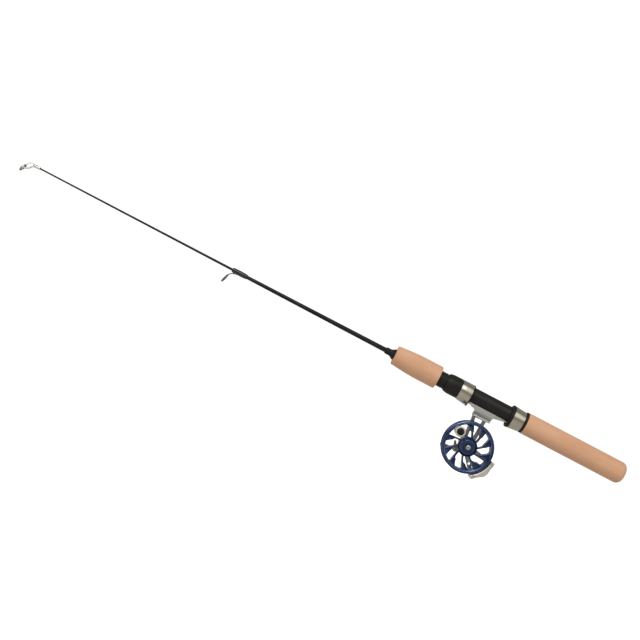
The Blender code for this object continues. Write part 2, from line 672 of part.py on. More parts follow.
def port_outline(number):
    """One opening between two spokes, from the hub to the rim."""
    heavy = (number + 1) * PORT_PITCH + spoke_angle(RIM_INNER) - PORT_PITCH
    extra = 1.9 if abs((heavy - BALANCE_ANGLE + 180.0) % 360.0 - 180.0) < 10.0 else 0.0
    turn = number * PORT_PITCH
    inner, outer = HUB_RADIUS, RIM_INNER - 0.3
    radii = [inner + 0.5, 11.8, 14.9, 15.8, 18.4, outer - 0.9]
    low = []
    high = []
    for radius in radii:
        low_angle = turn + spoke_angle(radius) - PORT_PITCH + math.degrees(leading_half(radius) / radius)
        swell = extra * max(0.0, (radius - 14.0) / (outer - 14.0))
        high_angle = turn + spoke_angle(radius) - math.degrees((trailing_half(radius) + swell) / radius)
        low.append(flat(polar(radius, low_angle)))
        high.append(flat(polar(radius, high_angle)))
    low_in = turn + spoke_angle(inner) - PORT_PITCH + 8.0
    high_in = turn + spoke_angle(inner) - 8.5
    low_out = turn + spoke_angle(outer) - PORT_PITCH + math.degrees(leading_half(outer) / outer) + 2.6
    high_out = turn + spoke_angle(outer) - math.degrees((trailing_half(outer) + extra) / outer) - 2.6
    near = [flat(polar(inner, low_in + share * (high_in - low_in))) for share in (1.0, 0.5, 0.0)]
    far = [flat(polar(outer, low_out + share * (high_out - low_out))) for share in (0.0, 0.5, 1.0)]
    return near + low + far + list(reversed(high))


def make_spool():
    half = SPOOL_HALF_WIDTH
    bore = 4.15
    profile = [
        (-5.4, bore), (-5.4, 6.6), (-2.6, HUB_RADIUS - 0.4), (-2.0, ROOT_START),
        (-4.4, ROOT_START + 0.2), (-4.4, RIM_INNER), (-half, RIM_INNER + 0.4),
        (-half, SPOOL_RADIUS - 0.3), (0.3 - half, SPOOL_RADIUS), (1.1 - half, SPOOL_RADIUS),
        (2.6 - half, GROOVE_RADIUS), (half - 2.6, GROOVE_RADIUS), (half - 1.1, SPOOL_RADIUS),
        (half - 0.3, SPOOL_RADIUS), (half, SPOOL_RADIUS - 0.3), (half, RIM_INNER + 0.3), (half - 1.6, RIM_INNER),
        (4.8, ROOT_START), (4.8, HUB_RADIUS - 0.4), (5.4, 6.6), (5.4, bore),
    ]
    spool = solid("spool", turned(profile, "Y", SPOOL_CENTRE, SPOOL_SIDES), "blue_anodised", SPOOL_CENTRE)
    for number in range(PORT_COUNT):
        cut(spool, plate(port_outline(number), -half - 2.0, half + 2.0), f"port_{number}")
    knob = polar(KNOB_RADIUS_AT, KNOB_ANGLE)
    cut(spool, cylinder(1.15, -half, 2.0, centre=knob), "knob_hole")
    weight = polar(BALANCE_RADIUS_AT, BALANCE_ANGLE)
    cut(spool, cylinder(2.6, -3.2, half + 2.0, centre=weight, sides=20), "balance_hole")
    solid("counterweight", cylinder(2.4, -2.9, 4.7, centre=weight, sides=20), "brass", SPOOL_CENTRE)

    gear = solid("click_gear", gear_shape(), "steel", SPOOL_CENTRE)
    cut(gear, cylinder(4.6, 3.0, 10.0, centre=SPOOL_CENTRE, sides=24), "bore")

    for name, start in (("bearing_front", -4.9), ("bearing_rear", 2.1)):
        solid(name, ring(1.75, 4.0, start, start + 3.0, centre=SPOOL_CENTRE, sides=24), "steel", SPOOL_CENTRE)
    spacer = ring(1.75, 2.6, -1.6, 1.8, centre=SPOOL_CENTRE)
    solid("bearing_spacer", spacer, "brass", SPOOL_CENTRE)


def click_pin_engaged():
    """Where the click pin ends up when the lever has turned through its travel."""
    pivot = polar(CLICK_PIVOT_AT, CLICK_PIVOT_ANGLE)
    offset = polar(CLICK_PIN_AT, CLICK_PIN_ANGLE) - pivot
    offset.rotate(Matrix.Rotation(math.radians(CLICK_TRAVEL), 3, "Y"))
    return pivot + offset


def gear_shape():
    """Ratchet wheel with V gaps, one of which faces the engaged click pin."""
    pin = click_pin_engaged() - SPOOL_CENTRE
    phase = math.degrees(math.atan2(pin.z, pin.x))
    pitch = 360.0 / GEAR_TEETH
    outline = []
    for tooth in range(GEAR_TEETH):
        valley = phase + tooth * pitch
        outline.append(flat(polar(GEAR_ROOT, valley)))
        outline.append(flat(polar(GEAR_TIP, valley + 0.40 * pitch)))
        outline.append(flat(polar(GEAR_TIP, valley + 0.60 * pitch)))
    return plate(outline, 5.75, 7.5)


def make_spindle():
    """Fixed axle with its rear nut; the domed screw and washer hold the spool on."""
    axle = [
        (-5.1, 0.0), (-5.1, 1.5), (5.5, 1.5), (5.5, 2.6), (FRAME_FRONT - GAP, 2.6), (FRAME_FRONT - GAP, 1.65),
        (FRAME_BACK + 2.6, 1.65), (FRAME_BACK + 2.6, 0.0),
    ]
    axle_object = solid("spindle", turned(axle, "Y", SPOOL_CENTRE, FINE), "steel")
    cut(axle_object, cylinder(0.95, -8.0, 1.0, centre=SPOOL_CENTRE), "tapped_hole")
    nut = [flat(polar(3.1, 60.0 * corner + 30.0)) for corner in range(6)]
    nut_object = solid("spindle_nut", plate(nut, FRAME_BACK + GAP, FRAME_BACK + 2.4), "steel")
    cut(nut_object, cylinder(1.9, FRAME_BACK - 3.0, FRAME_BACK + 6.0, centre=SPOOL_CENTRE), "bore")

    solid("spool_washer", ring(1.1, 3.4, -6.1, -5.7, centre=SPOOL_CENTRE, sides=24), "blue_anodised")
    head = [
        (0.0, 0.0), (0.0, 0.75), (-6.3, 0.75), (-6.3, 2.5), (-6.8, 2.5), (-7.4, 2.1), (-7.8, 1.3), (-7.9, 0.0),
    ]
    screw = solid("spool_screw", turned(head, "Y", SPOOL_CENTRE, 24), "steel")
    cut(screw, cross_slot(flat(SPOOL_CENTRE), -9.0, -7.1, 2.4, 0.6), "recess")


def make_knob():
    centre = polar(KNOB_RADIUS_AT, KNOB_ANGLE)
    post = [
        (1.0, 0.0), (1.0, 0.85), (-4.7, 0.85), (-4.7, 3.0), (-7.2, 3.0), (-7.2, 1.5), (-19.4, 1.5),
        (-19.4, 2.2), (-20.2, 2.2), (-20.2, 0.0),
    ]
    solid("knob_post", turned(post, "Y", centre, FINE), "steel", SPOOL_CENTRE)
    body = [
        (-7.5, 1.8), (-7.5, 3.8), (-7.9, 4.1), (-12.0, 4.0), (-17.0, 4.25), (-21.0, 4.75), (-22.0, 4.75),
        (-22.4, 4.45), (-22.4, 3.5), (-19.1, 3.5), (-19.1, 1.8),
    ]
    solid("knob_body", turned(body, "Y", centre, 20), "cast_alloy", centre)
    cap = [(-20.6, 0.0), (-20.6, 3.2), (-22.4, 3.2), (-22.8, 2.6), (-22.95, 0.0)]
    solid("knob_cap", turned(cap, "Y", centre, 20), "black_plastic", centre)


def make_click():
    """Lever, its pin and thumb pad on one body; the pivot screw belongs to the frame."""
    pivot = polar(CLICK_PIVOT_AT, CLICK_PIVOT_ANGLE)
    pin = polar(CLICK_PIN_AT, CLICK_PIN_ANGLE)
    thumb = polar(22.0, 205.0)
    back, front = FRAME_BACK + GAP, FRAME_BACK + 1.7
    lever = solid("click_lever", cylinder(2.3, back, front, centre=pivot, sides=16), "cast_alloy", pivot)
    join(lever, plate(bar(flat(pivot), flat(pin), 1.7, 1.2), back + 0.1, front - 0.1), "pin_arm")
    join(lever, cylinder(1.3, back + 0.05, front - 0.05, centre=pin), "pin_end")
    join(lever, plate(bar(flat(pivot), flat(thumb), 1.6, 1.4), back + 0.15, front - 0.15), "thumb_arm")
    join(lever, cylinder(2.8, back + 0.2, front + 1.4, centre=thumb, sides=16), "thumb_pad")
    cut(lever, cylinder(1.15, back - 2.0, front + 3.0, centre=pivot), "pivot_hole")
    cut(lever, cylinder(CLICK_PIN_RADIUS + 0.2, back - 2.0, front + 3.0, centre=pin), "pin_hole")
    stub = [
        (6.1, 0.0), (6.1, CLICK_PIN_RADIUS), (front + 0.15, CLICK_PIN_RADIUS), (front + 0.15, 1.1),
        (front + 0.6, 0.9), (front + 0.6, 0.0),
    ]
    solid("click_pin", turned(stub, "Y", pin, FINE), "steel", pivot)
    screw = [
        (FRAME_FRONT + 0.1, 0.0), (FRAME_FRONT + 0.1, 0.9), (front + 0.15, 0.9), (front + 0.15, 1.9),
        (front + 1.1, 1.7), (front + 1.5, 1.0), (front + 1.5, 0.0),
    ]
    solid("click_pivot_screw", turned(screw, "Y", pivot, FINE), "steel")


clear_scene()
make_blank()
make_tip()
make_mid_guide()
make_grips()
make_seat()
make_front_hood()
make_foot()
make_frame()
make_line_guide()
make_spool()
make_spindle()
make_knob()
make_click()
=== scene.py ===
"""Looks of the telescopic ice fishing rod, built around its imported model.

The rod lies along X with its tip toward -X, and the reel hangs toward -Z. Sizes are in millimetres and
are scaled to metres by MM. Most nodes are replaced by finer pieces, placed by the nodes' boxes and joints.
"""

import json
import math

import bmesh
import bpy
from mathutils import Matrix, Vector


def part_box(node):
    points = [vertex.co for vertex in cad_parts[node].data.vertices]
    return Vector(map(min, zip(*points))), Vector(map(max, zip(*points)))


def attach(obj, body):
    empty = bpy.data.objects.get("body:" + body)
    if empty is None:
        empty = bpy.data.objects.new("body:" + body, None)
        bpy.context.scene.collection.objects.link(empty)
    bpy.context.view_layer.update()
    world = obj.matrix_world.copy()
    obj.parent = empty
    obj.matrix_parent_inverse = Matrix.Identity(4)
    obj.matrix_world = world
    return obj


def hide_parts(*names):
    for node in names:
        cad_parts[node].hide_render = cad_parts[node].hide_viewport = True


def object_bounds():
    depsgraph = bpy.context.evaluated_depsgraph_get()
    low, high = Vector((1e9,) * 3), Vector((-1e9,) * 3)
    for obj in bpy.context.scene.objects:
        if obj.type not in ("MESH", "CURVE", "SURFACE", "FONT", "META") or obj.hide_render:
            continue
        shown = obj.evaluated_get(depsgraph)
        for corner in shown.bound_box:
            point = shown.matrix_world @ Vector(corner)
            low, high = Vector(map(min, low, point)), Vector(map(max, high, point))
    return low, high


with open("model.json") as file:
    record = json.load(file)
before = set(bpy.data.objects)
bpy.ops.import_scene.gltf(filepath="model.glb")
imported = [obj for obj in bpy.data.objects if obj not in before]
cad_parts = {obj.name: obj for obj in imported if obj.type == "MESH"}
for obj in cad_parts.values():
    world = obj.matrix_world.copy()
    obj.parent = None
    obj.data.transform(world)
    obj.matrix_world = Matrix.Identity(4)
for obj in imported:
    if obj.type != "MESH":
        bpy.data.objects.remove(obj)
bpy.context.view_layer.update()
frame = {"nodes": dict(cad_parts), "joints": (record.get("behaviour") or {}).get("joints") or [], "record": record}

MM = 0.001
JOINTS = {joint["name"]: joint for joint in frame["joints"]}

# Camera, lights and floor
ROLL = math.radians(27.7)        # the rod slopes down to the right by this much
CAMERA_AT = (-0.3243, -1.084, -0.0037)
FIELD_OF_VIEW = math.radians(31.4)
FLOOR_DROP = 0.3
FLOOR_SIZE = 60.0

# Smoothness of turned pieces and wires
SIDES = 96
THIN_SIDES = 48
ARC_STEPS = 5
SHARP_ANGLE = 35.0               # edges that turn by more than this stay sharp
MERGE = 0.0005                   # points closer than this are one point

# Reel seat, along the rod
SEAT_FLAT = -6.45                # height of the flat under the barrel
HOOD_EDGE = -164.0               # about the front hood's rear edge at rest
THREAD_END = -166.0
THREAD_PITCH = 2.3
THREAD_DEPTH = 0.42
FLANGE = -122.9
SLEEVE_REAR = -119.8
POCKET_HALF = 5.6                # the pockets that the foot's ends slide into
POCKET_BOTTOM = -9.2
FOOT_RISE = 0.32                 # closes the slit that would show light between foot and barrel

# Reel, with angles around the spool's axis
SPOKES = 10
SPOKE_STEP = 360.0 / SPOKES
HUB_RADIUS = 9.4
RIM_INNER = 21.7
SPOKE_HUB_ANGLE = 18.2
SPOKE_RIM_ANGLE = 38.5
SPOKE_HALF = 0.75                # half the width of a spoke near the hub
SWELL_START = 13.0               # where the trailing side starts to widen
SWELL = 2.6
ROOT_START = 15.8                # where the leading side has stepped out to its root
ROOT_STEP = 0.9
BALANCE_START = 14.0             # the extra width of the spoke opposite the knob
BALANCE_SLOPE = 0.2568
GUIDE_ANGLE = -31.0
GUIDE_HALF_SPAN = 22.5
GUIDE_ANGLES = {"upper": GUIDE_ANGLE + GUIDE_HALF_SPAN, "lower": GUIDE_ANGLE - GUIDE_HALF_SPAN}
GUIDE_BOSS_AT = 27.7
PIVOT_ANGLE, PIVOT_AT = 225.0, 11.2
PIN_ANGLE, PIN_AT = 187.0, 10.8
NOTCH_ANGLE = PIN_ANGLE - 2.0    # the slot that the click pin swings in
LEVER_GAP = 0.3


# ---------------- reading the frame

def box(node):
    """A node's lowest and highest corners, in millimetres."""
    low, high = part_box(node)
    return low / MM, high / MM


def middle(node):
    """The middle of a node's box, in millimetres."""
    low, high = box(node)
    return (low + high) / 2.0


def across_middle(node):
    """The middle of a node's box, moved to y = 0, as a centre for pieces turned about Y."""
    centre = middle(node)
    return Vector((centre.x, 0.0, centre.z))


SPOOL = Vector(JOINTS["spool_spin"]["pos_m"]) / MM
KNOB = Vector(JOINTS["knob_spin"]["pos_m"]) / MM
FRAME_FRONT, FRAME_BACK = (corner.y for corner in box("reel_frame"))


def polar(radius, degrees, y=0.0):
    """A point around the spool axis; the angle is measured from +X toward +Z."""
    angle = math.radians(degrees)
    return Vector((SPOOL.x + radius * math.cos(angle), y, SPOOL.z + radius * math.sin(angle)))


# ---------------- materials

def shader(name, colour, rough, metal=0.0, coat=0.0):
    """A material and its Principled shader; constants are set on the shader's own sockets."""
    made = bpy.data.materials.new(name)
    made.use_nodes = True
    principled = made.node_tree.nodes["Principled BSDF"]
    principled.inputs["Base Color"].default_value = (*colour, 1.0)
    principled.inputs["Roughness"].default_value = rough
    principled.inputs["Metallic"].default_value = metal
    principled.inputs["Coat Weight"].default_value = coat
    return made, principled


def node(tree, kind, **values):
    """A shader node; a value sets the socket of that name if there is one, or else a property."""
    made = tree.nodes.new(kind)
    for key, value in values.items():
        if key in made.inputs:
            made.inputs[key].default_value = value
        else:
            setattr(made, key, value)
    return made


def object_points(tree, stretch=(1.0, 1.0, 1.0)):
    """Object coordinates, stretched so that a pattern can run along or around a piece."""
    where = tree.nodes.new("ShaderNodeTexCoord")
    mapping = tree.nodes.new("ShaderNodeMapping")
    mapping.inputs["Scale"].default_value = stretch
    tree.links.new(where.outputs["Object"], mapping.inputs["Vector"])
    return mapping.outputs["Vector"]


def noise(tree, scale, detail=4.0, stretch=(1.0, 1.0, 1.0), roughness=0.55):
    """Noise in object space, as a factor."""
    made = node(tree, "ShaderNodeTexNoise", Scale=scale, Detail=detail, Roughness=roughness)
    tree.links.new(object_points(tree, stretch), made.inputs["Vector"])
    return made.outputs["Fac"]


def ramp(tree, factor, stops):
    """A colour ramp; each stop is (place, colour)."""
    made = tree.nodes.new("ShaderNodeValToRGB")
    elements = made.color_ramp.elements
    for index, (place, colour) in enumerate(stops):
        element = elements[index] if index < 2 else elements.new(place)
        element.position = place
        element.color = (*colour, 1.0)
    tree.links.new(factor, made.inputs["Fac"])
    return made.outputs["Color"]


def vary_colour(made, principled, factor, dark, light, low=0.35, high=0.65):
    """Lets the base colour run from dark to light as the factor goes from low to high."""
    tree = made.node_tree
    tree.links.new(ramp(tree, factor, [(low, dark), (high, light)]), principled.inputs["Base Color"])


def vary_roughness(made, principled, factor, low, high):
    """Lets the roughness follow the factor between two values."""
    tree = made.node_tree
    scaled = node(tree, "ShaderNodeMapRange")
    scaled.inputs["To Min"].default_value = low
    scaled.inputs["To Max"].default_value = high
    tree.links.new(factor, scaled.inputs["Value"])
    tree.links.new(scaled.outputs["Result"], principled.inputs["Roughness"])


def add_bump(made, principled, factor, strength, distance):
    """Raises the surface by the factor; the distance is in metres."""
    tree = made.node_tree
    bump = node(tree, "ShaderNodeBump", Strength=strength, Distance=distance)
    tree.links.new(factor, bump.inputs["Height"])
    tree.links.new(bump.outputs["Normal"], principled.inputs["Normal"])


def shades(colour, amount):
    """A darker and a lighter version of a colour."""
    return tuple(c * (1.0 - amount) for c in colour), tuple(min(1.0, c * (1.0 + amount)) for c in colour)


def foam():
    """Closed-cell foam: soft mottling, a fine cell texture and a matte skin."""
    made, principled = shader("grip_foam", (0.72, 0.42, 0.25), 0.85)
    tree = made.node_tree
    mottle = noise(tree, 70.0, 5.0, (0.35, 1.0, 1.0))
    vary_colour(made, principled, mottle, (0.715, 0.385, 0.232), (0.80, 0.475, 0.31), 0.3, 0.7)
    principled.inputs["Sheen Weight"].default_value = 0.12
    principled.inputs["Specular IOR Level"].default_value = 0.25
    add_bump(made, principled, noise(tree, 1800.0, 3.0), 0.25, 0.0002)
    return made


def plastic(name, colour, rough, grain=900.0, depth=0.00006, coat=0.0):
    """Moulded plastic: a very fine grain and uneven gloss."""
    made, principled = shader(name, colour, rough, coat=coat)
    principled.inputs["Specular IOR Level"].default_value = 0.25
    tree = made.node_tree
    vary_colour(made, principled, noise(tree, 120.0), *shades(colour, 0.18))
    vary_roughness(made, principled, noise(tree, 240.0), rough - 0.06, rough + 0.08)
    add_bump(made, principled, noise(tree, grain, 2.0), 0.3, depth)
    return made


def metal(name, colour, rough, stretch=(1.0, 1.0, 1.0), scale=500.0, amount=0.06, depth=0.00002):
    """Metal with fine tool or brush marks; the stretch sets which way they run."""
    made, principled = shader(name, colour, rough, 1.0)
    tree = made.node_tree
    marks = noise(tree, scale, 3.0, stretch)
    vary_colour(made, principled, noise(tree, 90.0), *shades(colour, amount))
    vary_roughness(made, principled, marks, rough - 0.05, rough + 0.09)
    add_bump(made, principled, marks, 0.25, depth)
    return made


def lacquer():
    """Gloss black blank with faint cloth-wrap bands under the lacquer."""
    made, principled = shader("blank_black", (0.008, 0.007, 0.007), 0.22, coat=0.08)
    principled.inputs["Specular IOR Level"].default_value = 0.18
    tree = made.node_tree
    vary_colour(made, principled, noise(tree, 260.0, 2.0, (0.25, 1.0, 1.0)), (0.006, 0.005, 0.005),
                (0.020, 0.018, 0.018))
    vary_roughness(made, principled, noise(tree, 150.0), 0.18, 0.32)
    add_bump(made, principled, noise(tree, 300.0, 2.0, (0.5, 1.0, 1.0)), 0.15, 0.00003)
    return made


def anodised():
    """Blue anodised aluminium with the faint rings that turning leaves around the spool axis."""
    made, principled = shader("spool_blue", (0.022, 0.055, 0.20), 0.3, 0.85, 1.0)
    tree = made.node_tree
    vary_colour(made, principled, noise(tree, 160.0), (0.014, 0.038, 0.130), (0.028, 0.064, 0.20))
    offset = node(tree, "ShaderNodeMapping")
    offset.inputs["Location"].default_value = tuple(-SPOOL * MM)
    where = tree.nodes.new("ShaderNodeTexCoord")
    tree.links.new(where.outputs["Object"], offset.inputs["Vector"])
    rings = node(tree, "ShaderNodeTexWave", Scale=1400.0, Distortion=0.6, Detail=1.0)
    rings.wave_type = "RINGS"
    rings.rings_direction = "Y"
    tree.links.new(offset.outputs["Vector"], rings.inputs["Vector"])
    add_bump(made, principled, rings.outputs["Fac"], 0.06, 0.00001)
    vary_roughness(made, principled, noise(tree, 300.0), 0.24, 0.38)
    return made


AROUND = (1.0, 0.12, 0.12)       # marks that run around the rod

LOOKS = {
    "grip_foam": foam(),
    "butt_rubber": plastic("butt_rubber", (0.025, 0.024, 0.023), 0.75),
    "arbor_foam": plastic("arbor_foam", (0.12, 0.11, 0.10), 0.85),
    "blank_black": lacquer(),
    "thread_wrap": plastic("thread_wrap", (0.016, 0.013, 0.017), 0.18, 700.0, 0.00003, 0.8),
    "guide_steel": metal("guide_steel", (0.20, 0.20, 0.19), 0.35),
    "tip_steel": metal("tip_steel", (0.74, 0.72, 0.68), 0.3),
    "guide_ceramic": plastic("guide_ceramic", (0.05, 0.05, 0.052), 0.2, 400.0, 0.00001, 0.4),
    "trim_black": plastic("trim_black", (0.012, 0.011, 0.010), 0.45),
    "seat_black": plastic("seat_black", (0.013, 0.012, 0.011), 0.48),
    "hood_nickel": metal("hood_nickel", (0.53, 0.485, 0.41), 0.28, AROUND, 900.0, 0.04, 0.000008),
    "cast_alloy": metal("cast_alloy", (0.31, 0.32, 0.325), 0.42, scale=420.0, amount=0.10, depth=0.00005),
    "guide_alloy": metal("guide_alloy", (0.80, 0.78, 0.71), 0.42, scale=420.0, amount=0.08, depth=0.00003),
    "knob_alloy": metal("knob_alloy", (0.86, 0.84, 0.79), 0.42),
    "spool_blue": anodised(),
    "screw_steel": metal("screw_steel", (0.60, 0.60, 0.60), 0.22),
    "brass": metal("brass", (0.62, 0.44, 0.18), 0.3),
}

# Finishes that stand in for a slot's own look: a paler ring for the tip guide, and a brighter alloy that is
# painted light, for the frame and click lever that sit in the spool's shade and for the foot's plate and lip
# against its darker pedestal
TIP_CERAMIC = plastic("tip_ceramic", (0.22, 0.22, 0.22), 0.2, 400.0, 0.00001, 0.4)
ALLOY_PAINTED_LIGHTER = metal("alloy_painted_lighter", (0.66, 0.66, 0.64), 0.40, scale=420.0, amount=0.08, depth=0.00004)


# ---------------- shapes

def rounded(points, steps=ARC_STEPS):
    """Rounds the corners of a closed outline. A point is (a, b) or (a, b, radius)."""
    out = []
    count = len(points)
    for index, point in enumerate(points):
        here = Vector(point[:2])
        radius = point[2] if len(point) > 2 else 0.0
        if radius <= 0.0:
            out.append(tuple(here))
            continue
        before = Vector(points[index - 1][:2]) - here
        after = Vector(points[(index + 1) % count][:2]) - here
        reach = min(radius, before.length * 0.49, after.length * 0.49)
        start, end = here + before.normalized() * reach, here + after.normalized() * reach
        for step in range(steps + 1):
            t = step / steps
            out.append(tuple(start * (1 - t) ** 2 + here * 2 * t * (1 - t) + end * t ** 2))
    return out


def finished(name, shape, look, body, replaced=(), smooth=SHARP_ANGLE):
    """Makes an object from a bmesh in millimetres and seats it on its body."""
    bmesh.ops.remove_doubles(shape, verts=shape.verts, dist=MERGE)
    bmesh.ops.recalc_face_normals(shape, faces=shape.faces)
    bmesh.ops.scale(shape, vec=(MM, MM, MM), verts=shape.verts)
    mesh = bpy.data.meshes.new(name)
    shape.to_mesh(mesh)
    shape.free()
    return seated(bpy.data.objects.new(name, mesh), look, body, replaced, smooth)


def seated(made, look, body, replaced=(), smooth=SHARP_ANGLE):
    """Gives an object its material, its smoothing, its body and the nodes that it replaces."""
    if not made.users_collection:
        bpy.context.scene.collection.objects.link(made)
    made.data.materials.clear()
    made.data.materials.append(LOOKS[look])
    made.data.shade_smooth()
    made.data.set_sharp_from_angle(angle=math.radians(smooth))
    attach(made, body)
    if replaced:
        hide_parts(*replaced)
    return made


def turned(outline, axis="X", centre=(0.0, 0.0, 0.0), sides=SIDES, wobble=None):
    """Revolves a closed outline of (along, radius) points. A wobble adds to the radius by angle."""
    centre = Vector(centre)
    along_axis = Vector((1, 0, 0)) if axis == "X" else Vector((0, 1, 0))
    across = Vector((0, 1, 0)) if axis == "X" else Vector((1, 0, 0))
    up = Vector((0, 0, 1))
    shape = bmesh.new()
    circles = []
    for along, radius in outline:
        circle = []
        for step in range(sides):
            angle = 2.0 * math.pi * step / sides
            reach = radius + (wobble(along, radius, angle) if wobble else 0.0)
            outward = across * math.cos(angle) + up * math.sin(angle)
            circle.append(shape.verts.new(centre + along_axis * along + outward * max(reach, 0.0)))
        circles.append(circle)
    for index, first in enumerate(circles):
        second = circles[(index + 1) % len(circles)]
        for step in range(sides):
            after = (step + 1) % sides
            shape.faces.new((first[step], first[after], second[after], second[step]))
    return shape


def skewed(outline, sides=SIDES):
    """Revolves (along, radius, drop) points about X, with each circle lowered by its drop."""
    shape = turned([point[:2] for point in outline], sides=sides)
    shape.verts.ensure_lookup_table()
    for index, point in enumerate(outline):
        for vert in shape.verts[index * sides:(index + 1) * sides]:
            vert.co.z -= point[2]
    return shape


def slab(name, outlines, low, high, bevel, look, body, replaced=()):
    """A flat plate between two y values with holes and rounded edges, from a filled curve."""
    curve = bpy.data.curves.new(name, "CURVE")
    curve.dimensions = "2D"
    curve.fill_mode = "BOTH"
    curve.extrude = (high - low) / 2.0 - bevel
    curve.bevel_depth = bevel
    curve.bevel_resolution = 2
    curve.offset = -bevel
    for outline in outlines:
        spline = curve.splines.new("POLY")
        spline.points.add(len(outline) - 1)
        spline.use_cyclic_u = True
        for point, (x, z) in zip(spline.points, outline):
            point.co = (x, z, 0.0, 1.0)
    holder = bpy.data.objects.new(name + "_outline", curve)
    bpy.context.scene.collection.objects.link(holder)
    bpy.context.view_layer.update()
    mesh = bpy.data.meshes.new_from_object(holder.evaluated_get(bpy.context.evaluated_depsgraph_get()))
    bpy.data.objects.remove(holder)
    shape = bmesh.new()
    shape.from_mesh(mesh)
    bpy.data.meshes.remove(mesh)
    # the curve lies in XY, so it is stood up in XZ with its thickness centred between low and high
    upright = Matrix(((1, 0, 0, 0), (0, 0, -1, (low + high) / 2.0), (0, 1, 0, 0), (0, 0, 0, 1)))
    bmesh.ops.transform(shape, matrix=upright, verts=shape.verts)
    return finished(name, shape, look, body, replaced)


def circle(radius, centre=(0.0, 0.0), sides=64):
    """A round outline of (x, z) points."""
    steps = [2.0 * math.pi * step / sides for step in range(sides)]
    return [(centre[0] + radius * math.cos(angle), centre[1] + radius * math.sin(angle)) for angle in steps]


def flat(point):
    """A point seen from the front, as (x, z)."""
    return (point.x, point.z)


def carve(target, *shapes):
    """Cuts shapes, given in millimetres, out of an object and keeps the result as its mesh."""
    for shape in shapes:
        bmesh.ops.recalc_face_normals(shape, faces=shape.faces)
        bmesh.ops.scale(shape, vec=(MM, MM, MM), verts=shape.verts)
        mesh = bpy.data.meshes.new("cutter")
        shape.to_mesh(mesh)
        shape.free()
        tool = bpy.data.objects.new("cutter", mesh)
        bpy.context.scene.collection.objects.link(tool)
        step = target.modifiers.new("cut", "BOOLEAN")
        step.operation = "DIFFERENCE"
        step.solver = "EXACT"
        step.object = tool
        bpy.context.view_layer.update()
        cut = bpy.data.meshes.new_from_object(target.evaluated_get(bpy.context.evaluated_depsgraph_get()))
        target.modifiers.clear()
        target.data = cut
        bpy.data.objects.remove(tool)
    target.data.shade_smooth()
    target.data.set_sharp_from_angle(angle=math.radians(SHARP_ANGLE))
    return target


def tube(radius, start, end, axis="Y", centre=(0.0, 0.0, 0.0), sides=THIN_SIDES):
    """A plain closed cylinder, used only as a cutter."""
    return turned([(start, 0.0), (start, radius), (end, radius), (end, 0.0)], axis, centre, sides)


def bar(start, end, half_start, half_end, corner=0.0):
    """The outline of a straight bar between two (x, z) points, with a half width at each end."""
    start, end = Vector(start), Vector(end)
    along = (end - start).normalized()
    across = Vector((-along.y, along.x))
    corners = [start + across * half_start, start - across * half_start,
               end - across * half_end, end + across * half_end]
    return rounded([(p.x, p.y, corner) for p in corners])


def smooth_path(points, steps=8):
    """A Catmull-Rom curve through the points."""
    points = [Vector(point) for point in points]
    ends = [points[0] * 2 - points[1]] + points + [points[-1] * 2 - points[-2]]
    path = []
    for index in range(len(points) - 1):
        a, b, c, d = ends[index:index + 4]
        for step in range(steps):
            t = step / steps
            path.append(0.5 * (2 * b + (c - a) * t + (2 * a - 5 * b + 4 * c - d) * t * t
                               + (3 * b - a - 3 * c + d) * t ** 3))
    path.append(points[-1])
    return path


def wire_shape(path, radius, closed=False, sides=16):
    """A round wire along a path, with domed ends where it is open."""
    shape = bmesh.new()
    count = len(path)
    circles = []
    side = None
    for index, point in enumerate(path):
        before = path[index - 1] if closed or index else path[index]
        after = path[(index + 1) % count] if closed or index < count - 1 else path[index]
        ahead = (after - before).normalized()
        if side is None:
            side = Vector((0, 1, 0)) if abs(ahead.y) < 0.8 else Vector((0, 0, 1))
        side = (side - ahead * side.dot(ahead)).normalized()
        lift = ahead.cross(side)
        circles.append([shape.verts.new(point + (side * math.cos(a) + lift * math.sin(a)) * radius)
                        for a in (2.0 * math.pi * step / sides for step in range(sides))])
    for index in range(count if closed else count - 1):
        first, second = circles[index], circles[(index + 1) % count]
        for step in range(sides):
            after = (step + 1) % sides
            shape.faces.new((first[step], first[after], second[after], second[step]))
    if not closed:
        for ring, point, other in ((circles[0], path[0], path[1]), (circles[-1], path[-1], path[-2])):
            tip = shape.verts.new(point + (point - other).normalized() * radius * 0.6)
            for step in range(sides):
                shape.faces.new((ring[step], ring[(step + 1) % sides], tip))
    return shape


def merged(*shapes):
    """Puts several bmeshes into one."""
    whole = bmesh.new()
    for shape in shapes:
        mesh = bpy.data.meshes.new("part")
        shape.to_mesh(mesh)
        shape.free()
        whole.from_mesh(mesh)
        bpy.data.meshes.remove(mesh)
    return whole


# ---------------- rod

def make_blank():
    """The two tapered sections of the rod."""
    low, high = box("main_blank")
    check = box("winding_check")[0].x
    bore = 1.45
    front_radius, check_radius, rear_radius = 1.7, 2.35, 2.5
    outline = [(low.x, bore), (low.x, front_radius, 0.12), (check, check_radius), (high.x, rear_radius, 0.2),
               (high.x, bore)]
    finished("blank", turned(rounded(outline), sides=THIN_SIDES), "blank_black", "rod", ["main_blank"])

    low, high = box("tip_section")
    collar = box("mid_collar")[0].x
    outline = [(low.x, 0.0), (low.x, 0.75, 0.2), (collar, 1.2), (high.x, 1.3, 0.3), (high.x, 0.0)]
    finished("tip_blank", turned(rounded(outline), sides=THIN_SIDES), "blank_black", "tip", ["tip_section"])


def leaning(shape, centre, lean):
    """Leans a ring that faces along X by an angle about Y, and moves it to its centre."""
    turn = Matrix.Rotation(math.radians(lean), 4, "Y")
    bmesh.ops.rotate(shape, cent=Vector((0, 0, 0)), matrix=turn, verts=shape.verts)
    bmesh.ops.translate(shape, vec=centre, verts=shape.verts)
    return shape


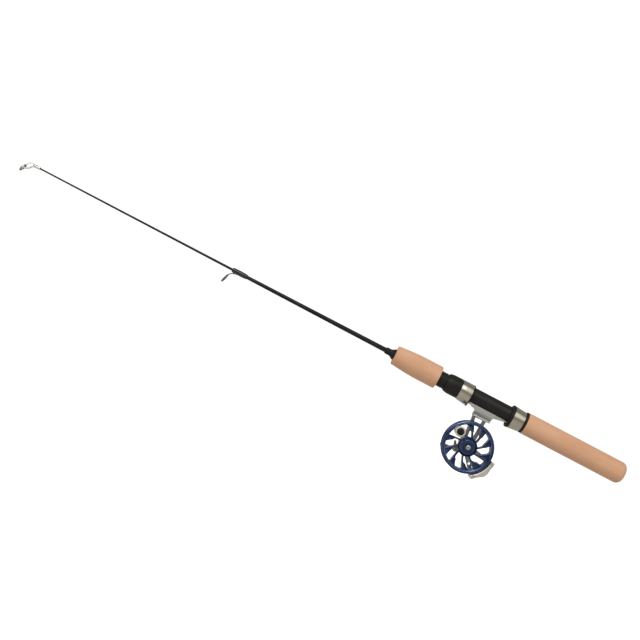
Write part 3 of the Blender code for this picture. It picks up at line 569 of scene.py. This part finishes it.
def ring_point(centre, lean, radius, degrees):
    """A point on a leaning ring; the angle is measured from +Y toward +Z."""
    angle = math.radians(degrees)
    point = Vector((0.0, radius * math.cos(angle), radius * math.sin(angle)))
    point.rotate(Matrix.Rotation(math.radians(lean), 3, "Y"))
    return point + centre


def ring_wire(major, radius):
    """A ring of round wire that faces along X."""
    path = [Vector((0.0, major * math.cos(a), major * math.sin(a)))
            for a in (2.0 * math.pi * step / 72 for step in range(72))]
    return wire_shape(path, radius, closed=True)


def ring_insert(outer, wall=0.62, half=0.8):
    """Ceramic ring with a fully rounded bore."""
    outline = [(-half, outer)]
    for step in range(9):
        angle = math.pi * step / 8.0
        outline.append((-half * math.cos(angle), outer - 0.2 - (wall - 0.2) * math.sin(angle)))
    outline.append((half, outer))
    return turned(outline, sides=72)


def make_mid_guide():
    """The guide at the joint of the two sections, with the thread whipping that holds it."""
    low, high = box("mid_collar")
    bore, end_radius, swell = 2.0, 2.1, 0.48
    front_taper, rear_taper = 3.2, 6.2
    step, thread_width, thread_height = 0.11, 0.44, 0.022
    outline = [(low.x, bore), (low.x, 2.08)]
    for index in range(int((high.x - low.x - 1.2) / step)):
        x = low.x + 0.3 + index * step
        rise = min(1.0, (x - low.x) / front_taper)
        fall = min(1.0, (high.x - x) / rear_taper)
        bulge = math.sin(rise * math.pi / 2.0) * math.sin(fall * math.pi / 2.0) ** 0.6
        outline.append((x, end_radius + swell * bulge))
    outline += [(high.x - 0.3, 2.15), (high.x, 2.1), (high.x, bore)]

    def whipping(along, radius, angle):
        """The thread's turns, left out at the tapered ends."""
        if radius <= end_radius + 0.1:
            return 0.0
        return thread_height * math.cos(2.0 * math.pi * along / thread_width - angle)

    finished("mid_whipping", turned(outline, wobble=whipping), "thread_wrap", "rod", ["mid_collar"], 60.0)

    centre = middle("mid_guide_insert")
    lean, major, wire = 17.0, 4.4, 0.5
    foot = [(low.x + 7.0, 0.0, -1.9), (low.x + 3.6, 0.0, -2.6), (low.x + 0.8, 0.0, -3.7),
            (low.x - 0.8, 0.0, -5.2), ring_point(centre, lean, major + 0.1, 90)]
    shape = merged(wire_shape(smooth_path(foot), wire), leaning(ring_wire(major, wire), centre, lean))
    finished("mid_guide_wire", shape, "guide_steel", "rod", ["mid_guide_frame"], 60.0)
    insert = leaning(ring_insert(major - wire - 0.1), centre, lean)
    finished("mid_guide_ring", insert, "guide_ceramic", "rod", ["mid_guide_insert"])


def make_tip_guide():
    """The guide at the tip: a socket, a crest wire over the top and two braces to the ring's sides."""
    rear = box("tip_top_frame")[1].x
    front, bore = rear - 7.0, 1.0
    centre = middle("tip_guide_insert")
    lean, major, wire = 24.0, 4.2, 0.36
    socket = [(rear, bore), (rear, bore + 0.25, 0.1), (rear - 0.6, bore + 0.4, 0.2),
              (front, bore + 0.4, 0.3), (front, bore)]
    crest = [(rear - 3.0, 0.0, 1.25), (front - 0.6, 0.0, 1.2), (front - 4.4, 0.0, 0.2),
             ring_point(centre, lean, major + 0.1, 90)]
    shapes = [turned(rounded(socket), sides=THIN_SIDES), leaning(ring_wire(major, wire), centre, lean),
              wire_shape(smooth_path(crest), wire)]
    for side in (-1, 1):
        brace = [(rear - 3.4, side * 0.5, -1.1), (front + 0.4, side * 0.8, -1.5),
                 (front - 2.2, side * 2.7, -3.6), (front - 4.9, side * 4.1, -5.8),
                 ring_point(centre, lean, major + 0.05, 90 - side * 85)]
        shapes.append(wire_shape(smooth_path(brace), wire))
    finished("tip_top_wire", merged(*shapes), "tip_steel", "tip", ["tip_top_frame"], 60.0)
    insert = leaning(ring_insert(major - wire - 0.1), centre, lean)
    ring = finished("tip_top_ring", insert, "guide_ceramic", "tip", ["tip_guide_insert"])
    ring.data.materials[0] = TIP_CERAMIC


def make_grips():
    """The two foam grips, the butt plug, the winding check and the trim ring."""
    low, high = box("rear_grip")
    radius, bore, corner = high.z, 2.8, 6.0
    plug_radius, plug_depth = 4.5, 10.0
    outline = [(low.x, bore), (low.x, radius, 0.7)]
    for step in range(17):
        angle = math.radians(90.0 - step * 90.0 / 16.0)
        along = high.x - corner + corner * math.cos(angle)
        outline.append((along, radius - corner + corner * math.sin(angle)))
    seat = high.x - plug_depth
    outline += [(high.x, plug_radius, 0.2), (seat, plug_radius), (seat, bore)]
    grip = finished("rear_grip_foam", turned(rounded(outline)), "grip_foam", "rod", ["rear_grip"], 50.0)

    low, high = box("butt_plug")
    outline = [(high.x, 0.0), (high.x, high.z, 0.5), (low.x, high.z, 0.3), (low.x, 0.0)]
    finished("butt_cap", turned(rounded(outline)), "butt_rubber", "rod", ["butt_plug"])

    low, high = box("foregrip")
    radius, nose, taper = high.z, 9.3, 30.0
    outline = [(low.x, bore), (low.x, nose, 0.9)]
    for step in range(1, 13):
        share = step / 12.0
        swell = math.sin(share * math.pi / 2.0) * (radius - nose)
        outline.append((low.x + taper * share, nose + swell))
    outline += [(high.x, radius, 1.3), (high.x, bore)]
    grip = finished("foregrip_foam", turned(rounded(outline)), "grip_foam", "rod", ["foregrip"], 50.0)

    low, high = box("winding_check")
    outline = [(high.x, 2.7), (high.x, 5.2, 0.3), (high.x - 1.0, 5.2, 0.4), (high.x - 3.9, 3.45, 0.8),
               (high.x - 5.2, 3.3, 0.3), (high.x - 5.6, 3.05, 0.2), (high.x - 6.2, 3.3, 0.3),
               (high.x - 8.3, 3.3, 0.5), (low.x, 2.85, 0.2), (low.x, 2.7)]
    finished("check_cone", turned(rounded(outline)), "trim_black", "rod", ["winding_check"])

    low, high = box("grip_ring")
    outline = [(low.x, 2.8), (low.x, high.z, 0.4), (high.x, high.z, 0.4), (high.x, 2.8)]
    finished("trim_ring", turned(rounded(outline)), "trim_black", "rod", ["grip_ring"])


# ---------------- reel seat

def block(low, high):
    """A box between two corners, for cutting."""
    shape = bmesh.new()
    bmesh.ops.create_cube(shape, size=1.0)
    size = Vector(high) - Vector(low)
    bmesh.ops.scale(shape, vec=size, verts=shape.verts)
    bmesh.ops.translate(shape, vec=(Vector(high) + Vector(low)) / 2.0, verts=shape.verts)
    return shape


def make_seat():
    """The threaded barrel with its rear flange, and the rear hood around the flange's sleeve."""
    low, high = box("seat_body")
    bore, thread, barrel, step = 5.6, 7.9, 8.0, 0.23
    outline = [(low.x, bore, 0.0), (low.x, thread - 0.35, 0.0)]
    for index in range(int((THREAD_END - low.x - 0.6) / step)):
        outline.append((low.x + 0.3 + index * step, thread, 0.0))
    outline += [(THREAD_END, thread, 0.0), (THREAD_END + 0.5, barrel, 0.0), (FLANGE - 1.6, barrel, 0.0),
                (FLANGE - 0.7, 8.5, 0.1), (FLANGE - 0.1, 10.3, 0.45), (FLANGE + 0.3, 10.9, 0.6),
                (FLANGE + 0.8, 11.15, 0.62), (SLEEVE_REAR - 0.8, 11.15, 0.62),
                (SLEEVE_REAR - 0.4, 10.95, 0.62), (SLEEVE_REAR - 0.2, 9.3, 1.1),
                (high.x, 8.55, 0.35), (high.x, bore, 0.0)]
    shape = skewed(outline)

    for vert in shape.verts:
        reach = math.hypot(vert.co.y, vert.co.z)
        if low.x < vert.co.x < THREAD_END and reach > bore + 1.0:
            fade = min(1.0, (vert.co.x - low.x) / 0.8, (THREAD_END - vert.co.x) / 2.0)
            turn = math.atan2(vert.co.z, vert.co.y) / (2.0 * math.pi)
            groove = 0.5 - 0.5 * math.cos(2.0 * math.pi * (vert.co.x / THREAD_PITCH - turn))
            depth = THREAD_DEPTH * fade * min(1.0, groove * 1.3)
            vert.co.y *= 1.0 - depth / reach
            vert.co.z *= 1.0 - depth / reach
    seat = finished("seat_barrel", shape, "seat_black", "rod", ["seat_body"], 40.0)
    saddle = block((HOOD_EDGE - 9.0, -12.0, -14.0), (FLANGE, 12.0, SEAT_FLAT))
    foot_end = box("reel_foot")[1].x
    pocket = block((FLANGE - 2.3, -POCKET_HALF, POCKET_BOTTOM), (foot_end + 0.8, POCKET_HALF, SEAT_FLAT))
    carve(seat, saddle, pocket)

    rear = box("rear_hood_sleeve")[1].x
    outline = [(SLEEVE_REAR, 9.6, 0.8), (SLEEVE_REAR, 10.7, 0.68), (SLEEVE_REAR + 0.3, 10.9, 0.66),
               (rear - 0.4, 9.85, 0.36), (rear, 9.6, 0.35), (rear, 8.8, 0.35)]
    finished("rear_hood", skewed(outline), "hood_nickel", "rod", ["rear_hood_sleeve"])


def prism(outline, low, high):
    """Extrudes a convex (x, z) outline between two y values, for cutting."""
    shape = bmesh.new()
    near = [shape.verts.new((x, low, z)) for x, z in outline]
    far = [shape.verts.new((x, high, z)) for x, z in outline]
    shape.faces.new(near)
    shape.faces.new(list(reversed(far)))
    for index, first in enumerate(near):
        after = (index + 1) % len(near)
        shape.faces.new((first, far[index], far[after], near[after]))
    return shape


def make_front_hood():
    """The sliding hood with its liner, and the lock nut ahead of it."""
    low, high = box("front_hood_sleeve")
    outline = [(low.x, 9.05, 0.15), (low.x, 9.55, 0.15), (low.x + 0.35, 9.78, 0.17),
               (high.x - 0.35, 10.5, 0.88), (high.x, 10.3, 0.9), (high.x, 9.85, 0.9)]
    finished("front_hood", skewed(outline), "hood_nickel", "front_hood", ["front_hood_sleeve"])
    outline = [(low.x + 0.5, 8.2, 0.0), (low.x + 0.5, 8.8, 0.15), (high.x - 0.25, 9.6, 0.9),
               (high.x + 0.3, 9.6, 0.9), (high.x + 0.3, 10.7, 1.0), (high.x + 0.75, 10.75, 1.0),
               (high.x + 0.9, 10.5, 1.0), (high.x + 0.9, 8.3, 0.0), (high.x - 2.1, 8.3, 0.0)]
    liner = finished("hood_liner", skewed(outline), "seat_black", "front_hood", ["front_hood_liner"])
    foot_end = box("reel_foot")[0].x
    pocket = block((foot_end - 0.6, -POCKET_HALF, POCKET_BOTTOM), (HOOD_EDGE + 3.0, POCKET_HALF, -5.0))
    carve(liner, pocket)

    low, high = box("lock_nut")
    outline = [(low.x, 8.2), (low.x, 8.7, 0.3), (low.x + 4.2, high.z, 1.4), (high.x - 0.9, high.z, 0.3),
               (high.x, high.z - 0.4, 0.2), (high.x, 8.2)]
    finished("hood_nut", turned(rounded(outline)), "seat_black", "lock_nut", ["lock_nut"], 40.0)


# ---------------- reel frame

def over_reel(points):
    """A rounded outline from (x, z, corner) points, with x measured from the spool's axis."""
    return rounded([(SPOOL.x + point[0], *point[1:]) for point in points])


def make_foot():
    """The foot's long plate with its ends in the hoods, its pedestal and the lip under it."""
    top = box("reel_foot")[1].z + FOOT_RISE
    front, rear = (corner.x - SPOOL.x for corner in box("reel_foot"))
    plate = over_reel([(front, top), (front, top - 1.1, 0.4), (-19.0, top - 1.5, 3.0), (-11.0, -10.1, 1.6),
                       (-9.2, -11.6, 1.0), (-9.0, -16.0, 0.4), (6.4, -16.0, 0.4), (7.8, -11.4, 0.9),
                       (9.2, -10.2, 1.2), (20.0, top - 1.7, 2.0), (rear, top - 1.2, 0.4), (rear, top)])
    made = slab("foot_plate", [plate], -5.0, 5.0, 0.4, "cast_alloy", "rod", ["reel_foot"])
    # painted light: the plate takes the brighter alloy, lighter than the pedestal of the same casting
    made.data.materials[0] = ALLOY_PAINTED_LIGHTER
    pedestal = over_reel([(-9.3, -11.2, 0.6), (-9.3, -15.2, 0.4), (6.8, -15.2, 0.4), (8.1, -11.2, 0.6)])
    slab("foot_pedestal", [pedestal], -6.0, 8.3, 0.5, "cast_alloy", "rod")
    lip = over_reel([(-9.7, -14.6, 0.4), (-9.5, -16.4, 0.5), (7.1, -16.4, 0.5), (7.8, -14.6, 0.4)])
    made = slab("foot_lip", [lip], -6.5, 7.8, 0.45, "cast_alloy", "rod")
    # painted light: the lip takes the brighter alloy, lighter than the pedestal of the same casting
    made.data.materials[0] = ALLOY_PAINTED_LIGHTER


def make_frame():
    """The flat frame behind the spool; each kind of bar is inset differently, so that no faces coincide."""
    centre = flat(SPOOL)
    yoke = over_reel([(-8.4, -9.8, 0.6), (-8.4, -17.0, 1.0), (6.6, -17.0, 1.0), (6.6, -9.8, 0.6)])
    leg_top, leg_end, leg_half = -15.5, SPOOL.z + 2.4, 1.9
    legs = {"front": (-6.4, -4.3), "rear": (4.6, 3.6)}
    bars = {
        "hub": ([circle(9.3, centre), circle(1.95, centre, 32)], 0.0),
        "yoke": ([yoke], 0.1),
        "ear": ([bar(flat(polar(5.0, PIVOT_ANGLE)), flat(polar(PIVOT_AT, PIVOT_ANGLE)), 3.0, 2.2)], 0.2),
        "ear_end": ([circle(2.4, flat(polar(PIVOT_AT, PIVOT_ANGLE)), 48)], 0.12),
    }
    for name, (top, end) in legs.items():
        leg = bar((SPOOL.x + top, leg_top), (SPOOL.x + end, leg_end), leg_half, leg_half, 0.3)
        bars[f"leg_{name}"] = ([leg], 0.15)
    for name, angle in GUIDE_ANGLES.items():
        arm = [bar(flat(polar(7.0, angle)), flat(polar(GUIDE_BOSS_AT, angle)), 2.9, 1.7, 0.3)]
        if name == "lower":
            arm.append(circle(1.2, flat(polar(17.4, angle)), 32))
        bars[f"arm_{name}"] = (arm, 0.25)
        bars[f"boss_{name}"] = ([circle(2.6, flat(polar(GUIDE_BOSS_AT, angle)), 48)], 0.05)
    for name, (outlines, inset) in bars.items():
        replaced = ["reel_frame"] if name == "hub" else []
        low, high = FRAME_FRONT + inset, FRAME_BACK - inset
        made = slab(f"frame_{name}", outlines, low, high, 0.3, "cast_alloy", "rod", replaced)
        # painted light: the brighter alloy lightens the frame, which sits in the spool's shade
        made.data.materials[0] = ALLOY_PAINTED_LIGHTER
        if name == "hub":
            notch = bar(flat(polar(6.4, NOTCH_ANGLE)), flat(polar(12.5, NOTCH_ANGLE)), 1.7, 1.7)
            carve(made, prism(notch, FRAME_FRONT - 3.0, FRAME_BACK + 3.0))


def screw(name, centre, head_y, radius, height, replaced, side=-1.0):
    """Domed screw head with a cross recess, and its shank; side -1 faces the front, +1 the back."""
    low, high = box(replaced)
    inner = high.y if side < 0 else low.y
    dome = [(head_y - side * 0.02, radius)]
    for step in range(1, 9):
        angle = math.radians(90.0 * step / 8.0)
        dome.append((head_y + side * height * math.sin(angle) ** 0.9, radius * math.cos(angle) ** 0.6))
    dome[-1] = (head_y + side * height, 0.0)
    outline = [(inner, 0.0), (inner, radius * 0.36), (head_y, radius * 0.36)] + dome
    made = finished(name, turned(outline, "Y", centre, THIN_SIDES), "screw_steel", "rod", [replaced], 40.0)
    reach, width = radius * 0.52, radius * 0.13
    near, far = sorted((head_y + side * height * 0.45, head_y + side * height * 2.0))
    for dx, dz in ((reach, width), (width, reach)):
        carve(made, block((centre.x - dx, near, centre.z - dz), (centre.x + dx, far, centre.z + dz)))


def make_line_guide():
    """The curved bridge between the guide arms, with its window, front pockets, screws and eyelet."""
    inner, peak, ends, reach = 26.0, 31.0, 29.9, GUIDE_HALF_SPAN + 5.2
    window, pocket_radius, pocket_depth = 3.2, 1.4, 2.4
    inside, outside = [], []
    for step in range(25):
        share = step / 12.0 - 1.0
        corner = 1.1 if abs(share) > 0.99 else 0.0
        inside.append((*flat(polar(inner, GUIDE_ANGLE + share * reach)), corner))
        swell = ends + max(0.0, 1.0 - 2.2 * abs(share)) ** 0.8 * (peak + 0.6 - ends)
        outside.append((*flat(polar(swell, GUIDE_ANGLE + share * reach)), corner))
    outline = rounded(inside + list(reversed(outside)))
    low, high = box("line_guide")
    bridge = slab("line_guide_bridge", [outline], low.y, high.y, 0.7, "guide_alloy", "rod", ["line_guide"])
    cutters = [radial(tube(window, inner - 2.0, peak + 3.0, "X", sides=64))]
    for angle in GUIDE_ANGLES.values():
        centre = polar(GUIDE_BOSS_AT, angle)
        cutters.append(tube(pocket_radius, low.y - 2.0, low.y + pocket_depth, centre=centre))
    carve(bridge, *cutters)
    for name, angle in GUIDE_ANGLES.items():
        centre = polar(GUIDE_BOSS_AT, angle)
        screw(f"guide_screw_{name}_head", centre, FRAME_BACK + 0.2, 1.6, 1.1, f"guide_screw_{name}", 1.0)
    outline = [(inner + 0.9, 2.45, 0.5), (inner + 0.9, 3.0, 0.1), (peak + 0.3, 3.0, 0.05),
               (peak + 0.3, 3.9, 0.3), (peak + 1.1, 3.6, 0.4), (peak + 1.2, 2.45, 0.5)]
    eyelet = radial(turned(rounded(outline), sides=72))
    finished("line_guide_ring", eyelet, "screw_steel", "rod", ["line_guide_eyelet"], 50.0)


def radial(shape):
    """Turns a shape made along X so that it points from the spool's axis through the line guide."""
    turn = Matrix.Rotation(-math.radians(GUIDE_ANGLE), 4, "Y")
    bmesh.ops.rotate(shape, cent=Vector((0, 0, 0)), matrix=turn, verts=shape.verts)
    bmesh.ops.translate(shape, vec=SPOOL, verts=shape.verts)
    return shape


# ---------------- spool

def spoke_angle(radius):
    """The angle of a spoke's middle line, which sweeps back from the hub to the rim."""
    share = (radius - HUB_RADIUS) / (RIM_INNER - HUB_RADIUS)
    return SPOKE_HUB_ANGLE + share * (SPOKE_RIM_ANGLE - SPOKE_HUB_ANGLE)


def trailing_half(radius, number):
    """Half width on the trailing side; the spoke opposite the knob has a broader root."""
    share = max(0.0, (radius - SWELL_START) / (RIM_INNER - SWELL_START))
    extra = BALANCE_SLOPE * max(0.0, radius - BALANCE_START) if number == BALANCE_SPOKE else 0.0
    return SPOKE_HALF + SWELL * share ** 1.4 + extra


def leading_half(radius):
    """Half width on the leading side: thin at first, then a short step out to the root."""
    root_half, rim_half = 2.0, 3.2
    if radius < ROOT_START:
        share = max(0.0, (radius - ROOT_START) / ROOT_STEP + 1.0)
        return SPOKE_HALF + (root_half - SPOKE_HALF) * share
    return root_half + (rim_half - root_half) * (radius - ROOT_START) / (RIM_INNER - ROOT_START)


def side_point(radius, number, leading):
    """A point on one side of a spoke."""
    middle_angle = spoke_angle(radius) + number * SPOKE_STEP
    if leading:
        return flat(polar(radius, middle_angle + math.degrees(leading_half(radius) / radius)))
    return flat(polar(radius, middle_angle - math.degrees(trailing_half(radius, number) / radius)))


def nearest_spoke(angle):
    """The number of the spoke that meets the rim nearest to an angle."""
    return round((angle - spoke_angle(RIM_INNER)) / SPOKE_STEP) % SPOKES


BALANCE_SPOKE = nearest_spoke(math.degrees(math.atan2(SPOOL.z - KNOB.z, SPOOL.x - KNOB.x)))


def port(number):
    """The opening between two spokes: arcs at the hub and rim, joined along the spokes' sides."""
    before = (number - 1) % SPOKES
    inner, outer = HUB_RADIUS, RIM_INNER - 0.3
    last = 14
    radii = [inner + (outer - inner) * step / last for step in range(last + 1)]
    low = [side_point(radius, before, True) for radius in radii]
    high = [side_point(radius, number, False) for radius in radii]

    def arc(radius, start, end):
        """The middle of an arc between two points, which leaves room for the rounded corners."""
        a = math.degrees(math.atan2(start[1] - SPOOL.z, start[0] - SPOOL.x))
        b = math.degrees(math.atan2(end[1] - SPOOL.z, end[0] - SPOOL.x))
        b += 360.0 * round((a - b) / 360.0)
        return [flat(polar(radius, a + (b - a) * share)) for share in (0.3, 0.4, 0.5, 0.6, 0.7)]

    far = arc(outer, low[-1], high[-1])
    near = arc(inner, high[0], low[0])
    corners = {0: 0.5, last: 1.4}
    kept = [*range(last - 2), last]            # the outer corners round over the two points left out
    outline = [(*low[index], corners.get(index, 0.0)) for index in kept]
    outline += [(*point, 0.0) for point in far]
    outline += [(*high[index], corners.get(index, 0.0)) for index in reversed(kept)]
    outline += [(*point, 0.0) for point in near]
    return rounded(outline)


def make_spool():
    """The ported spool, its rim and hub, the counterweight, the washer and the hub screw."""
    centre = flat(SPOOL)
    web = [circle(RIM_INNER + 0.6, centre, 128), circle(4.6, centre, 48)]
    web += [port(number) for number in range(SPOKES)]
    slab("spool_web", web, -2.3, 4.8, 0.3, "spool_blue", "spool", ["spool"])
    for number in range(SPOKES):
        radii = [ROOT_START + (RIM_INNER + 0.2 - ROOT_START) * step / 8.0 for step in range(9)]
        outline = [side_point(radius, number, False) for radius in radii]
        outline += [side_point(radius, number, True) for radius in reversed(radii)]
        slab(f"spoke_root_{number}", [outline], -4.4, -1.6, 0.35, "spool_blue", "spool")

    rim = [(-4.6, 21.7, 0.2), (-6.1, 21.8, 0.2), (-6.8, 22.9, 0.15), (-6.6, 23.1, 0.1), (-6.6, 23.7, 0.1),
           (-7.0, 24.0, 0.1), (-6.55, 24.85, 0.15), (-6.3, 25.0, 0.1), (-5.9, 25.0, 0.2),
           (-4.4, 22.9, 0.4), (4.4, 22.9, 0.4), (5.9, 25.0, 0.2), (6.7, 25.0, 0.1), (7.0, 24.7, 0.1),
           (7.0, 22.1, 0.2), (5.4, 21.7, 0.3)]
    finished("spool_rim", turned(rounded(rim), "Y", SPOOL, 192), "spool_blue", "spool", smooth=28.0)
    hub = [(-5.4, 4.2, 0.15), (-5.4, 6.5, 0.4), (-3.2, 8.9, 0.5), (-2.2, 9.3, 0.2), (4.6, 9.3, 0.3),
           (4.9, 8.8, 0.3), (5.4, 6.5, 0.3), (5.4, 4.2, 0.1)]
    finished("spool_hub", turned(rounded(hub), "Y", SPOOL), "spool_blue", "spool", smooth=28.0)

    low, high = box("counterweight")
    radius, shift = 1.7, 0.7
    plug = [(low.y, 0.0), (low.y, radius, 0.3), (high.y, radius, 0.3), (high.y, 0.0)]
    centre = across_middle("counterweight")
    centre += (centre - SPOOL).normalized() * shift
    weight = turned(rounded(plug), "Y", centre, THIN_SIDES)
    finished("weight_plug", weight, "brass", "spool", ["counterweight"])

    washer = [(-5.7, 1.1), (-6.1, 1.1, 0.1), (-6.1, 4.0, 0.15), (-5.7, 4.0)]
    finished("hub_washer", turned(rounded(washer), "Y", SPOOL), "spool_blue", "rod", ["spool_washer"])
    screw("hub_screw", SPOOL, -6.3, 2.5, 1.6, "spool_screw")


def make_knob():
    """The crank knob, waisted and flared toward its end, with its cap."""
    body = [(-7.5, 1.8), (-7.5, 4.2, 0.3), (-8.3, 4.5, 0.3), (-9.0, 4.1, 0.4), (-12.0, 4.2, 2.0),
            (-17.0, 4.5, 2.0), (-20.8, 5.2, 0.6), (-22.4, 4.9, 0.5), (-22.4, 3.5, 0.15), (-19.1, 3.5),
            (-19.1, 1.8)]
    finished("knob_shell", turned(rounded(body), "Y", KNOB), "knob_alloy", "knob", ["knob_body"])
    cap = [(-20.6, 0.0), (-20.6, 3.2), (-22.3, 3.2, 0.25), (-22.75, 2.6, 0.3), (-22.95, 0.0)]
    finished("knob_end", turned(rounded(cap), "Y", KNOB), "trim_black", "knob", ["knob_cap"])


def make_click():
    """The click lever behind the frame, its pivot screw and the frame's two screws."""
    pivot, pin, thumb = polar(PIVOT_AT, PIVOT_ANGLE), polar(PIN_AT, PIN_ANGLE), polar(22.0, 205.0)
    inside, outside = FRAME_BACK + LEVER_GAP, FRAME_BACK + 1.7
    pieces = {
        "hub": ([circle(2.3, flat(pivot), 48)], inside, outside),
        "arm": ([bar(flat(pivot), flat(pin), 1.7, 1.2)], inside + 0.1, outside - 0.1),
        "pin_end": ([circle(1.3, flat(pin), 32)], inside + 0.05, outside - 0.05),
        "thumb_arm": ([bar(flat(pivot), flat(thumb), 1.6, 1.4)], inside + 0.15, outside - 0.15),
        "thumb_pad": ([circle(2.8, flat(thumb), 48)], inside + 0.2, outside + 1.4),
    }
    for name, (outlines, low, high) in pieces.items():
        replaced = ["click_lever"] if name == "hub" else []
        made = slab(f"click_{name}", outlines, low, high, 0.2, "cast_alloy", "click_lever", replaced)
        # painted light: the brighter alloy lightens the lever, which sits in the spool's shade
        made.data.materials[0] = ALLOY_PAINTED_LIGHTER
    screw("click_screw", pivot, outside + 0.15, 1.9, 1.2, "click_pivot_screw", 1.0)
    for name in ("frame_screw_front", "frame_screw_rear"):
        screw(f"{name}_head", across_middle(name), FRAME_BACK + 0.2, 1.9, 1.4, name, 1.0)


# ---------------- kept nodes, stage, light and camera

def dress_kept_nodes():
    """Nodes whose shape is right keep it and only get their material."""
    slots = {part["node"]: part["material_slot"] for part in frame["record"]["subparts"]}
    for name, piece in frame["nodes"].items():
        piece.data.materials.clear()
        piece.data.materials.append(LOOKS[slots[name]])


def make_floor():
    """A pale floor that the camera sees as nearly white."""
    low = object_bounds()[0]
    shape = bmesh.new()
    bmesh.ops.create_grid(shape, x_segments=1, y_segments=1, size=FLOOR_SIZE / 2.0)
    mesh = bpy.data.meshes.new("floor")
    shape.to_mesh(mesh)
    shape.free()
    floor = bpy.data.objects.new("floor", mesh)
    floor.location.z = low.z - FLOOR_DROP
    bpy.context.scene.collection.objects.link(floor)
    made, principled = shader("pale_floor", (0.78, 0.78, 0.77), 0.9)
    tree = made.node_tree
    principled.inputs["Specular IOR Level"].default_value = 0.0
    glow = node(tree, "ShaderNodeEmission", Strength=0.90)
    light_path = tree.nodes.new("ShaderNodeLightPath")
    lit = tree.nodes.new("ShaderNodeAddShader")
    seen = tree.nodes.new("ShaderNodeMixShader")
    tree.links.new(principled.outputs["BSDF"], lit.inputs[0])
    tree.links.new(glow.outputs["Emission"], lit.inputs[1])
    tree.links.new(light_path.outputs["Is Camera Ray"], seen.inputs["Fac"])
    tree.links.new(principled.outputs["BSDF"], seen.inputs[1])
    tree.links.new(lit.outputs["Shader"], seen.inputs[2])
    tree.links.new(seen.outputs["Shader"], tree.nodes["Material Output"].inputs["Surface"])
    mesh.materials.append(made)


# Brightness of the studio around the rod's axis: 0 degrees is toward the front, 90 is overhead
STUDIO = [(-180, (0.30, 0.30, 0.30)), (-30, (0.36, 0.34, 0.31)), (-15, (0.33, 0.31, 0.28)),
          (-6, (0.05, 0.045, 0.04)), (8, (0.05, 0.045, 0.04)), (20, (0.50, 0.48, 0.43)),
          (30, (1.30, 1.27, 1.18)), (66, (1.30, 1.27, 1.18)), (76, (0.10, 0.09, 0.07)),
          (88, (0.10, 0.09, 0.07)), (100, (0.36, 0.36, 0.35)), (180, (0.30, 0.30, 0.30))]


def make_studio():
    """Soft surroundings banded around the rod's axis; the camera itself sees plain white."""
    world = bpy.data.worlds.new("studio")
    bpy.context.scene.world = world
    world.use_nodes = True
    tree = world.node_tree
    soft = tree.nodes["Background"]
    where = tree.nodes.new("ShaderNodeTexCoord")
    parts = tree.nodes.new("ShaderNodeSeparateXYZ")
    tree.links.new(where.outputs["Generated"], parts.inputs["Vector"])
    toward = node(tree, "ShaderNodeMath", operation="MULTIPLY")
    toward.inputs[1].default_value = -1.0
    tree.links.new(parts.outputs["Y"], toward.inputs[0])
    angle = node(tree, "ShaderNodeMath", operation="ARCTAN2")
    tree.links.new(parts.outputs["Z"], angle.inputs[0])
    tree.links.new(toward.outputs["Value"], angle.inputs[1])
    place = tree.nodes.new("ShaderNodeMapRange")
    place.inputs["From Min"].default_value = -math.pi
    place.inputs["From Max"].default_value = math.pi
    tree.links.new(angle.outputs["Value"], place.inputs["Value"])
    stops = [((degrees + 180.0) / 360.0, colour) for degrees, colour in STUDIO]
    tree.links.new(ramp(tree, place.outputs["Result"], stops), soft.inputs["Color"])
    plain = node(tree, "ShaderNodeBackground", Strength=1.05)
    plain.inputs["Color"].default_value = (1.0, 1.0, 1.0, 1.0)
    light_path = tree.nodes.new("ShaderNodeLightPath")
    seen = tree.nodes.new("ShaderNodeMixShader")
    tree.links.new(light_path.outputs["Is Camera Ray"], seen.inputs["Fac"])
    tree.links.new(soft.outputs["Background"], seen.inputs[1])
    tree.links.new(plain.outputs["Background"], seen.inputs[2])
    tree.links.new(seen.outputs["Shader"], tree.nodes["World Output"].inputs["Surface"])
    bpy.context.scene.view_settings.view_transform = "Standard"


def make_light(name, place, size, energy, target=(-0.32, 0.0, -0.03)):
    """An area light aimed at a point, in metres."""
    light = bpy.data.lights.new(name, "AREA")
    light.size = size
    light.energy = energy
    made = bpy.data.objects.new(name, light)
    made.location = place
    made.rotation_euler = (Vector(target) - Vector(place)).to_track_quat("-Z", "Y").to_euler()
    bpy.context.scene.collection.objects.link(made)


def make_camera():
    """A camera that looks along +Y and is rolled so that the rod slopes in the picture."""
    camera = bpy.data.cameras.new("camera")
    camera.angle = FIELD_OF_VIEW
    made = bpy.data.objects.new("camera", camera)
    c, s = math.cos(ROLL), math.sin(ROLL)
    turn = Matrix(((c, -s, 0.0), (0.0, 0.0, -1.0), (s, c, 0.0)))
    made.matrix_world = Matrix.Translation(CAMERA_AT) @ turn.to_4x4()
    bpy.context.scene.collection.objects.link(made)
    bpy.context.scene.camera = made


make_camera()
make_studio()
make_light("key", place=(-0.75, -1.1, 1.0), size=0.6, energy=5.5)
dress_kept_nodes()
make_blank()
make_mid_guide()
make_tip_guide()
make_grips()
make_seat()
make_front_hood()
make_foot()
make_frame()
make_line_guide()
make_spool()
make_knob()
make_click()
make_floor()
